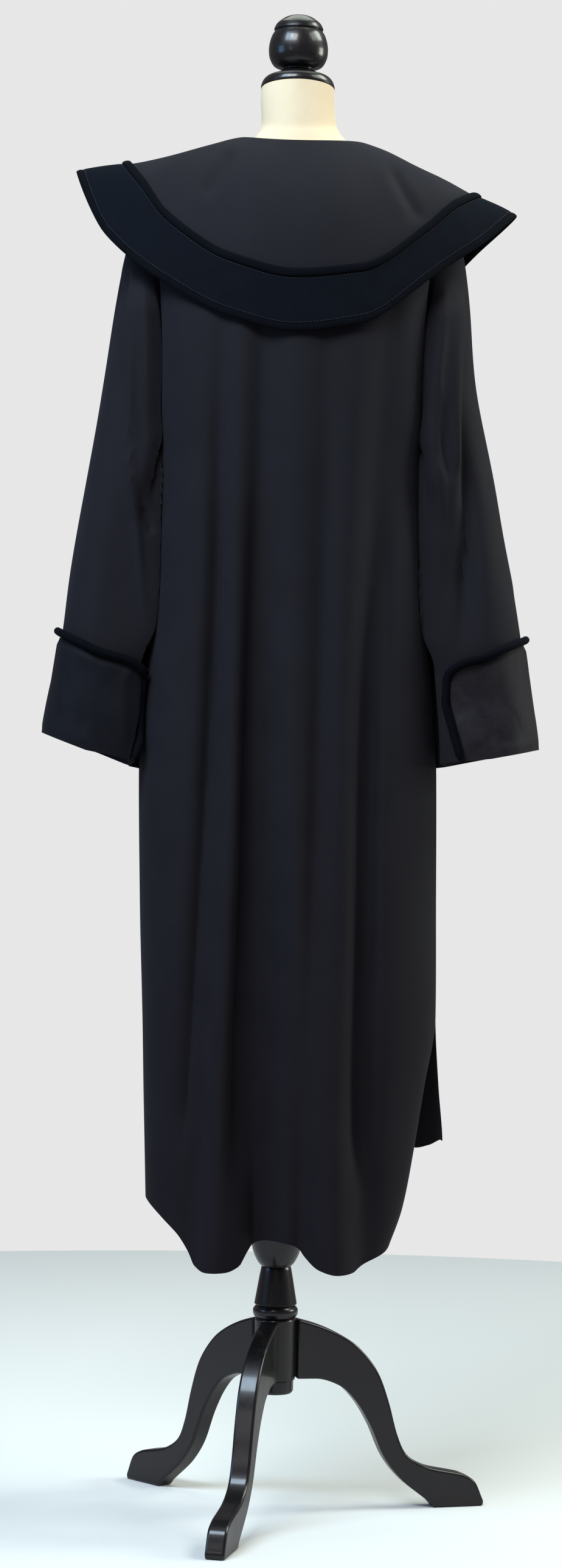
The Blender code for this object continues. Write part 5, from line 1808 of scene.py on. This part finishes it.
class CapeCollar:
    """Cape collar with its velvet band, the two rolls that edge the band and its ditch stitching."""

    def __init__(self, body: RobeBody, sizes: CollarSizes) -> None:
        """Work out the collar's under side.

        Args:
            body: The robe's body, whose neckline the collar is sewn to.
            sizes: Rolls, lifts and grid.
        """
        self.body, self.sizes = body, sizes
        self.maker, self.cloth = body.maker, body.cloth
        self.grid, self.out = self.surface()

    def neck(self, azimuth: Array) -> Array:
        """Work out the robe's neckline.

        Args:
            azimuth: Azimuths about the column.

        Returns:
            The neckline's point at each.
        """
        s = self.body.sizes
        depth = np.where(np.cos(azimuth) > 0, s.nape[0], s.throat[0])
        low = np.where(np.cos(azimuth) > 0, s.nape[1], s.throat[1])
        x = s.neck_shift + s.neck_side[0] * np.sin(azimuth)
        z = s.neck_side[1] + (low - s.neck_side[1]) * np.cos(azimuth) ** 2
        return np.stack([x, depth * np.cos(azimuth), z], axis=1)

    def surface(self) -> tuple[Array, Array]:
        """Work out the collar's under side, its creases in it.

        Returns:
            Its points and upward directions.
        """
        s = self.sizes
        azimuth = np.linspace(-pi + s.opening, pi - s.opening, s.columns + 1)
        line = {name: column_line(CAPE, "azimuth", name)(np.degrees(azimuth)) for name in Cape._fields[1:]}
        away = np.stack([np.sin(azimuth), np.cos(azimuth), 0 * azimuth], axis=1)
        up = np.array([0.0, 0.0, 1.0])
        neck = self.neck(azimuth) + s.neck_proud * away
        lift = s.neck_lift + away[:, 0] ** 2 * (s.side_lift + s.side_tilt * away[:, 0])
        neck = neck + lift[:, None] * up
        band = line["band_reach"][:, None] * away + line["band_z"][:, None] * up
        edge = line["edge_reach"][:, None] * away + line["edge_z"][:, None] * up
        fall = unit(band - neck)
        level = np.hypot(fall[:, 0], fall[:, 1])
        outward = unit(np.stack([-fall[:, 2] * away[:, 0], -fall[:, 2] * away[:, 1], level], axis=1))
        share = np.linspace(0.0, 1.0, s.neck_rows, endpoint=False)[:, None, None]
        bow = line["bow"][:, None] * outward * np.sin(pi * share) ** s.bow_power
        upper = neck + (band - neck) * share + bow
        lower = band + (edge - band) * np.linspace(0.0, 1.0, s.band_rows + 1)[:, None, None]
        grid = np.concatenate([upper, lower])
        row = np.arange(len(grid))[:, None]
        grid = grid + (eased_rows(grid, s.ease_rows) - grid) * ease(0, s.eased_from, row)[..., None]
        out = self.normals(grid)
        moved = half_creases(grid, grid[..., 1], s.facing, CAPE_CREASES)
        moved += ripple(grid[..., 0] * s.slack_stretch, grid[..., 2] + grid[..., 1], s.slack)
        moved *= ease(0, s.creased_from, row)
        grid = grid + out * moved[..., None]
        return grid, self.normals(grid)

    @staticmethod
    def normals(grid: Array) -> Array:
        """Work out the collar's upward directions."""
        out = grid_normals(grid)
        return out * np.sign(np.mean(out[..., 2]))

    def build(self) -> None:
        """Build the collar, the band and its two rolls."""
        s, cloth, start = self.sizes, self.cloth, self.sizes.neck_rows
        far = self.grid + cloth.collar_wall * self.out
        self.maker.wall("cape", self.grid, far, Finish.WOOL, ["cape_collar"])
        grid, out = self.grid[start:], self.out[start:]
        lift = cloth.collar_wall + cloth.seam_gap
        share = np.linspace(0.0, 1.0, s.band_rows + 1)[:, None]
        puff = s.band_puff * np.sqrt(np.clip(np.sin(pi * share), 0.0, 1.0)) * np.ones(grid.shape[1])
        near = grid + lift * out
        far = near + (cloth.velvet_wall + puff)[..., None] * out
        self.maker.wall("velvet_band", near, far, Finish.VELVET, ["collar_band"])
        half = (s.roll_half_width, s.roll_half_height)
        inward = unit(self.grid[start - 2] - self.grid[start])
        path = grid[0] + inward * (s.roll_half_width + s.roll_gap)
        path = path + out[0] * (cloth.collar_wall + s.roll_half_height + s.roll_gap)
        self.maker.roll("roll_inner", path, inward, out[0], half, s.roll_sides, Finish.BINDING,
                        ["collar_roll_inner"])
        outward = unit(grid[-1] - grid[-2])
        path = grid[-1] + outward * (s.roll_half_width + s.edge_roll_gap)
        path = path + out[-1] * (lift + cloth.velvet_wall) / 2
        self.maker.roll("roll_outer", path, outward, out[-1], half, s.roll_sides, Finish.BINDING,
                        ["collar_roll_outer"])

    def ditch(self, from_edge: bool) -> Array:
        """Work out the line of ditch stitches just inside one edge of the band.

        Args:
            from_edge: Whether it runs along the outer edge, or else along the inner one.

        Returns:
            The line's points.
        """
        s, start = self.sizes, self.sizes.neck_rows
        grid, out = self.grid[start:], self.out[start:]
        first, last = (grid[-1], grid[0]) if from_edge else (grid[0], grid[-1])
        inward = unit(last - first)
        lift = self.cloth.collar_wall + self.cloth.seam_gap + self.cloth.velvet_wall
        return first + inward * s.ditch_inset + out[-1 if from_edge else 0] * lift


@dataclass(frozen=True)
class StitchSizes:
    """A row of stitches, in metres."""

    spacing: float = 0.0036
    length: float = 0.0024
    radius: float = 0.00032
    stretch: Pair = (0.88, 1.08)
    seed: int = 7


class Stitching:
    """Rows of stitches, set out along lines by one Geometry Nodes tree."""

    def __init__(self, maker: Maker, sizes: StitchSizes) -> None:
        """Build the tree.

        Args:
            maker: Makes the meshes.
            sizes: The stitches' sizes.
        """
        self.maker, self.sizes = maker, sizes
        self.tree = self.build_tree()

    def build_tree(self) -> bpy.types.NodeTree:
        """Build the tree that turns a line into a row of stitches.

        Returns:
            The tree.
        """
        tree = bpy.data.node_groups.new("stitch_row", "GeometryNodeTree")
        face = tree.interface
        face.new_socket(name="Line", in_out="INPUT", socket_type="NodeSocketGeometry")
        kinds = {"Spacing": "Float", "Length": "Float", "Thread Radius": "Float", "Seed": "Int"}
        for name, kind in kinds.items():
            face.new_socket(name=name, in_out="INPUT", socket_type=f"NodeSocket{kind}")
        face.new_socket(name="Stitches", in_out="OUTPUT", socket_type="NodeSocketGeometry")
        add, link = tree.nodes.new, tree.links.new
        start, end = add("NodeGroupInput"), add("NodeGroupOutput")
        points = add("GeometryNodeCurveToPoints")
        points.mode = "LENGTH"
        curve = add("GeometryNodeMeshToCurve")
        link(start.outputs["Line"], curve.inputs["Mesh"])
        link(curve.outputs["Curve"], points.inputs["Curve"])
        link(start.outputs["Spacing"], points.inputs["Length"])
        bead = add("GeometryNodeMeshIcoSphere")
        bead.inputs["Radius"].default_value = 0.5
        bead.inputs["Subdivisions"].default_value = 2
        size = add("ShaderNodeCombineXYZ")
        thick = add("ShaderNodeMath")
        thick.operation = "MULTIPLY"
        thick.inputs[1].default_value = 2.0
        link(start.outputs["Thread Radius"], thick.inputs[0])
        link(thick.outputs[0], size.inputs["X"])
        link(thick.outputs[0], size.inputs["Y"])
        chance = add("FunctionNodeRandomValue")
        chance.data_type = "FLOAT"
        chance.inputs[2].default_value, chance.inputs[3].default_value = self.sizes.stretch
        link(start.outputs["Seed"], chance.inputs["Seed"])
        long = add("ShaderNodeMath")
        long.operation = "MULTIPLY"
        link(start.outputs["Length"], long.inputs[0])
        link(chance.outputs[1], long.inputs[1])
        link(long.outputs[0], size.inputs["Z"])
        place = add("GeometryNodeInstanceOnPoints")
        link(points.outputs["Points"], place.inputs["Points"])
        link(bead.outputs["Mesh"], place.inputs["Instance"])
        link(points.outputs["Rotation"], place.inputs["Rotation"])
        link(size.outputs["Vector"], place.inputs["Scale"])
        whole = add("GeometryNodeRealizeInstances")
        link(place.outputs["Instances"], whole.inputs["Geometry"])
        paint = add("GeometryNodeSetMaterial")
        paint.inputs["Material"].default_value = self.maker.materials[Finish.THREAD]
        link(whole.outputs["Geometry"], paint.inputs["Geometry"])
        link(paint.outputs["Geometry"], end.inputs["Stitches"])
        return tree

    def row(self, name: str, line: Array) -> None:
        """Sew one row of stitches.

        Args:
            name: The piece's name.
            line: The line's points, about the column.
        """
        guide = bpy.data.meshes.new(f"{name}_line")
        guide.from_pydata([tuple(p) for p in line], [(i, i + 1) for i in range(len(line) - 1)], [])
        holder = bpy.data.objects.new(f"{name}_line", guide)
        bpy.context.scene.collection.objects.link(holder)
        sewing = holder.modifiers.new("stitches", "NODES")
        sewing.node_group = self.tree
        values = {"Spacing": self.sizes.spacing, "Length": self.sizes.length,
                  "Thread Radius": self.sizes.radius, "Seed": self.sizes.seed}
        for item in self.tree.interface.items_tree:
            if item.name in values and item.in_out == "INPUT":
                sewing[item.identifier] = values[item.name]
        bpy.context.view_layer.update()
        shape = holder.evaluated_get(bpy.context.evaluated_depsgraph_get())
        mesh = bpy.data.meshes.new_from_object(shape)
        mesh.name = name
        holder.modifiers.remove(sewing)
        bpy.data.objects.remove(holder, do_unlink=True)
        mesh.materials.clear()
        self.maker.add(name, mesh, Finish.THREAD, [])


class DressForm:
    """Jersey-covered torso and neck of the dress form."""

    def __init__(self, maker: Maker, sizes: FormSizes) -> None:
        """Keep the sizes.

        Args:
            maker: Makes the meshes.
            sizes: Squareness, lean and grid.
        """
        self.maker, self.sizes = maker, sizes

    def build(self) -> None:
        """Build the torso as one closed body."""
        s = self.sizes
        index = np.linspace(0, len(FORM_RINGS) - 1, (len(FORM_RINGS) - 1) * s.rows_per_ring + 1)[:, None]
        knots = np.arange(len(FORM_RINGS))
        line = {name: smooth_line(knots, [getattr(ring, name) for ring in FORM_RINGS])(index)
                for name in Ring._fields}
        turn = np.linspace(0.0, 2 * pi, s.columns, endpoint=False)
        back = np.cos(turn) > 0
        side_z = line["side_z"]
        shift = s.shift * ease(*s.shift_from, side_z) * ease(*s.shift_until, side_z)
        square = 1.0 - (1.0 - s.square) * ease(*s.square_rings, index)
        depth = np.where(back, line["back"], line["front"])
        height = np.where(back, line["back_z"], line["front_z"])
        x = np.sign(np.sin(turn)) * np.abs(np.sin(turn)) ** square * line["side"] + shift
        y = np.sign(np.cos(turn)) * np.abs(np.cos(turn)) ** square * depth
        z = side_z + (height - side_z) * np.abs(np.cos(turn)) ** line["fall"]
        points = np.stack([x, y, z], axis=-1).reshape(-1, 3)
        mesh = self.maker.mesh_from("torso_cover", points, tube_faces(len(index), s.columns))
        corner = corner_points(mesh)
        lay_spots(mesh, s.map_radius * turn[corner % s.columns], points[corner, 2])
        self.maker.add("torso_cover", mesh, Finish.JERSEY, ["torso"], sharp=s.sharp_angle)


class Stand:
    """Neck cap, finial, column and three legs of the turned stand."""

    def __init__(self, maker: Maker, sizes: StandSizes) -> None:
        """Keep the sizes.

        Args:
            maker: Makes the meshes.
            sizes: Turned pieces and leg boards.
        """
        self.maker, self.sizes = maker, sizes

    def smooth_profile(self, profile: Sequence[Turn]) -> list[Turn]:
        """Run smooth curves through a profile between its sharp corners.

        Args:
            profile: The turned piece's profile.

        Returns:
            The finer profile.
        """
        points = np.array(profile, float)
        steps = unit(np.diff(points, axis=0))
        sharp = [0]
        for i in range(1, len(points) - 1):
            if steps[i - 1] @ steps[i] < np.cos(self.sizes.corner_angle):
                sharp.append(i)
        sharp.append(len(points) - 1)
        made = [points[0]]
        for first, last in zip(sharp, sharp[1:]):
            run = points[first:last + 1]
            before, after = 2 * run[0] - run[1], 2 * run[-1] - run[-2]
            if first == 0 and run[0][0] == 0:
                before = run[1] * (-1, 1)
            knots = np.vstack([before, run, after])
            for i in range(1, len(knots) - 2):
                a, b, c, d = knots[i - 1:i + 3]
                for k in range(1, self.sizes.curve_steps + 1):
                    t = k / self.sizes.curve_steps
                    place = 0.5 * (2 * b + (c - a) * t + (2 * a - 5 * b + 4 * c - d) * t ** 2
                                   + (3 * b - a - 3 * c + d) * t ** 3)
                    made.append(place)
        return [Turn(max(0.0, float(radius)), float(height)) for radius, height in made]

    def turned(self, name: str, profile: Sequence[Turn], stands_for: str) -> None:
        """Spin a profile into a turned piece with its lips softly rounded.

        Args:
            name: The piece's name.
            profile: Its outer profile, which starts and ends on the axis.
            stands_for: The solid that it stands for.
        """
        s = self.sizes
        fine = [turn for turn in self.smooth_profile(profile) if turn.radius > 1e-6]
        turns = np.linspace(0.0, 2 * pi, s.sides, endpoint=False)
        rings = [[(t.radius * np.cos(a), t.radius * np.sin(a), t.height) for a in turns] for t in fine]
        points = np.array(rings).reshape(-1, 3)
        if name == "neck_cap_turned":
            reach = np.hypot(points[:, 0], points[:, 1])
            points[:, 2] += points[:, 1] * s.cap_slope * ease(*s.cap_flange, reach)
        mesh = self.maker.mesh_from(name, points, tube_faces(len(fine), s.sides))
        piece = self.maker.add(name, mesh, Finish.LACQUER, [stands_for], sharp=s.lip_angle)
        self.round_edges(piece, s.lip_round, s.lip_steps, s.lip_angle)

    @staticmethod
    def round_edges(piece: bpy.types.Object, width: float, steps: int, angle: float) -> None:
        """Round a piece's sharp edges with a bevel.

        Args:
            piece: The piece.
            width: The round's width.
            steps: Its steps.
            angle: The angle above which an edge is rounded.
        """
        bevel = piece.modifiers.new("edge_round", "BEVEL")
        bevel.width = width
        bevel.segments = steps
        bevel.limit_method = "ANGLE"
        bevel.angle_limit = angle

    def outline(self, points: Sequence[Point]) -> list[Pair]:
        """Run a smooth line through a leg board's outline points.

        Args:
            points: The points.

        Returns:
            The finer outline.
        """
        knots = np.arange(len(points))
        places = np.linspace(0, len(points) - 1, (len(points) - 1) * self.sizes.leg_curve_steps + 1)
        reach = smooth_line(knots, [point.reach for point in points])(places)
        height = smooth_line(knots, [point.height for point in points])(places)
        return list(zip(reach.tolist(), height.tolist()))

    def leg(self, leg: Leg) -> None:
        """Build one leg board, its edges well rounded.

        Args:
            leg: The leg's name, azimuth and length.
        """
        s = self.sizes
        upper = self.outline(LEG_UPPER[:-1]) + [tuple(LEG_UPPER[-1])]
        under = [tuple(LEG_UNDER[0])] + self.outline(LEG_UNDER[1:])
        hub = LEG_UPPER[0].reach
        build = bmesh.new()
        corners = [build.verts.new((hub + (reach - hub) * leg.length, -s.leg_thickness / 2, height))
                   for reach, height in upper + under]
        side = build.faces.new(corners)
        moved = [v for v in bmesh.ops.extrude_face_region(build, geom=[side])["geom"]
                 if isinstance(v, bmesh.types.BMVert)]
        bmesh.ops.translate(build, verts=moved, vec=(0, s.leg_thickness, 0))
        bmesh.ops.recalc_face_normals(build, faces=build.faces)
        bmesh.ops.rotate(build, verts=build.verts, cent=(0, 0, 0),
                         matrix=Matrix.Rotation(radians(90 - leg.azimuth), 3, "Z"))
        mesh = bpy.data.meshes.new(leg.name)
        build.to_mesh(mesh)
        build.free()
        piece = self.maker.add(f"{leg.name}_board", mesh, Finish.LACQUER, [leg.name], sharp=s.round_angle)
        self.round_edges(piece, s.leg_round, s.leg_round_steps, s.round_angle)

    def build(self) -> None:
        """Build every piece of the stand."""
        profiles = {
            "neck_cap": NECK_CAP_PROFILE, "finial": FINIAL_PROFILE, "pole": POLE_PROFILE,
            "bulb": BULB_PROFILE, "cone": CONE_PROFILE, "bead_ring": BEAD_PROFILE,
            "hub": HUB_PROFILE, "hub_plug": PLUG_PROFILE,
        }
        for node, profile in profiles.items():
            self.turned(f"{node}_turned", profile, node)
        for leg in LEGS:
            self.leg(leg)


@dataclass(frozen=True)
class View:
    """The photograph's viewpoint: a level camera behind the garment, in metres and degrees."""

    distance: float = 3.95
    height: float = 0.856
    roll: float = radians(1.05)
    lens: float = 77.17
    shift: float = -6.6 / 2576
    clip: float = 50.0


@dataclass(frozen=True)
class Room:
    """The floor and the even light: sizes in metres, and colours as seen and as they light the rest."""

    floor_reach: float = 2.2
    floor_sides: int = 96
    floor_roughness: float = 0.9
    floor_seen: Triple = (0.88, 0.88, 0.88)
    floor_cast: Triple = (0.54, 0.52, 0.53)
    fill_cast: Triple = (1.0, 0.92, 1.0)
    fill_strength: float = 0.15


@dataclass(frozen=True)
class Softbox:
    """One soft light: where it stands about the column, what it looks at, its size and power."""

    name: str
    place: Triple
    power: float
    colour: Triple
    aim: Triple = (0.0, 0.0, 1.1)
    size: Pair = (1.2, 1.2)


SOFTBOXES = (
    Softbox("key_left", (0.82, 2.26, 3.5), 68.0, (0.93, 1.0, 1.0)),
    Softbox("side_left", (1.7, 1.7, 3.5), 54.0, (0.72, 1.0, 1.22)),
    Softbox("low_left", (3.15, 1.15, 1.69), 11.0, (0.45, 1.0, 1.7)),
    Softbox("low_right", (-3.3, -0.58, 1.69), 45.0, (0.91, 1.0, 0.9)),
    Softbox("high_right", (-2.37, -0.42, 3.5), 48.0, (0.91, 1.0, 0.9)),
    Softbox("side_right", (-2.26, 0.82, 3.5), 20.0, (0.91, 1.0, 0.9)),
    Softbox("leg_light", (2.0, 3.5, 1.75), 2.6, (1.0, 0.98, 1.05), (0.0, 0.1, 0.25), (0.6, 0.9)),
    Softbox("top", (0.0, -0.6, 3.4), 19.0, (0.88, 1.0, 0.88), (0.0, 0.0, 1.4), (1.6, 1.6)),
)


class Studio:
    """Pale floor, soft light and the camera."""

    def __init__(self, column: Array, view: View, room: Room) -> None:
        """Keep the column's place, the viewpoint and the room.

        Args:
            column: The column's place.
            view: The viewpoint.
            room: The floor and the even light.
        """
        self.column, self.view, self.room = Vector(column), view, room

    def build(self) -> None:
        """Build the floor, the world, the lights and the camera."""
        self.floor()
        self.world()
        for box in SOFTBOXES:
            self.light(box)
        self.camera()
        settings = bpy.context.scene.view_settings
        settings.view_transform = "Standard"
        settings.look = "None"

    def floor(self) -> None:
        """Lay a wide floor under the soles, pale to the camera and darker to the light off it."""
        room, mesh = self.room, bpy.data.meshes.new("floor")
        reach, sides = room.floor_reach, room.floor_sides
        turns = np.linspace(0.0, 2 * pi, sides, endpoint=False)
        rim = [(self.column.x + reach * np.cos(t), self.column.y + reach * np.sin(t), 0.0) for t in turns]
        mesh.from_pydata(rim, [], [tuple(range(sides))])
        graph = Graph("floor")
        seen = graph.node("ShaderNodeLightPath").outputs["Is Camera Ray"]
        graph.dress({"Base Color": graph.mix(seen, room.floor_cast, room.floor_seen),
                     "Roughness": room.floor_roughness})
        mesh.materials.append(graph.material)
        floor = bpy.data.objects.new("floor", mesh)
        bpy.context.scene.collection.objects.link(floor)

    def world(self) -> None:
        """Fill the room with even light, white where the camera sees it."""
        world = bpy.data.worlds.new("studio")
        world.use_nodes = True
        nodes, link = world.node_tree.nodes, world.node_tree.links.new
        back = nodes["Background"]
        back.inputs["Color"].default_value = (*self.room.fill_cast, 1.0)
        back.inputs["Strength"].default_value = self.room.fill_strength
        seen = nodes.new("ShaderNodeBackground")
        seen.inputs["Strength"].default_value = 1.0
        path, choice = nodes.new("ShaderNodeLightPath"), nodes.new("ShaderNodeMixShader")
        link(path.outputs["Is Camera Ray"], choice.inputs["Fac"])
        link(back.outputs["Background"], choice.inputs[1])
        link(seen.outputs["Background"], choice.inputs[2])
        link(choice.outputs["Shader"], nodes["World Output"].inputs["Surface"])
        bpy.context.scene.world = world

    def light(self, box: Softbox) -> None:
        """Stand one softbox up.

        Args:
            box: The softbox.
        """
        lamp = bpy.data.lights.new(box.name, "AREA")
        lamp.shape = "RECTANGLE"
        lamp.size, lamp.size_y = box.size
        lamp.energy = box.power
        lamp.color = box.colour
        stand = bpy.data.objects.new(box.name, lamp)
        stand.location = self.column + Vector(box.place)
        aim = self.column + Vector(box.aim)
        stand.rotation_euler = (aim - stand.location).to_track_quat("-Z", "Y").to_euler()
        bpy.context.scene.collection.objects.link(stand)

    def camera(self) -> None:
        """Stand the camera at the photograph's viewpoint."""
        view = self.view
        lens = bpy.data.cameras.new("camera")
        lens.lens = view.lens
        lens.shift_x = view.shift
        lens.clip_end = view.clip
        camera = bpy.data.objects.new("camera", lens)
        place = self.column + Vector((0.0, view.distance, view.height))
        camera.matrix_world = (Matrix.Translation(place) @ Matrix.Rotation(pi, 4, "Z")
                               @ Matrix.Rotation(pi / 2, 4, "X") @ Matrix.Rotation(view.roll, 4, "Z"))
        bpy.context.scene.collection.objects.link(camera)
        bpy.context.scene.camera = camera


@dataclass(frozen=True)
class Cut:
    """How a piece of cloth was cut: its flat width and length, its area, and how it is held."""

    piece: str
    width: float
    length: float
    area: float
    held: str
    rests_on: tuple[str, ...]
    goes_with: tuple[str, ...] = ()


CUTS = (
    Cut("back_panel", 0.48, 1.32, 0.56, "hung", ("torso_cover",)),
    Cut("front_panel_left", 0.27, 1.2, 0.29, "hung", ("torso_cover",)),
    Cut("front_panel_right", 0.27, 1.2, 0.29, "hung", ("torso_cover",)),
    Cut("set_in_sleeve_left", 0.46, 0.66, 0.205, "hung", ("back_panel", "front_panel_left")),
    Cut("set_in_sleeve_right", 0.46, 0.66, 0.205, "hung", ("back_panel", "front_panel_right")),
    Cut("turned_cuff_left", 0.43, 0.12, 0.045, "folded", ("set_in_sleeve_left",), ("velvet_piping_left",)),
    Cut("turned_cuff_right", 0.43, 0.12, 0.045, "folded", ("set_in_sleeve_right",),
        ("velvet_piping_right",)),
    Cut("cape", 0.6, 0.52, 0.2, "draped", ("back_panel", "front_panel_left", "front_panel_right"),
        ("roll_inner", "roll_outer")),
    Cut("velvet_band", 0.55, 0.45, 0.08, "laid", ("cape",), ("stitches_inner", "stitches_outer")),
)


def declare_cloth() -> None:
    """Read through the flat cut of each piece of cloth; nothing is recorded or set."""
    for cut in CUTS:
        list(cut.rests_on)
        list(cut.goes_with)


def main() -> None:
    """Build the form, the stand, the robe and the studio."""
    maker = Maker(Materials())
    DressForm(maker, FormSizes()).build()
    Stand(maker, StandSizes()).build()
    body = RobeBody(maker, ClothSizes(), BodySizes())
    body.build()
    for wearer in Wearer:
        Sleeve(body, wearer, SleeveSizes()).build()
    collar = CapeCollar(body, CollarSizes())
    collar.build()
    sewing = Stitching(maker, StitchSizes())
    sewing.row("stitches_inner", collar.ditch(from_edge=False))
    sewing.row("stitches_outer", collar.ditch(from_edge=True))
    declare_cloth()
    Studio(maker.column, View(), Room()).build()
    log.info("%d pieces", maker.count)


if __name__ == "__main__":
    main()
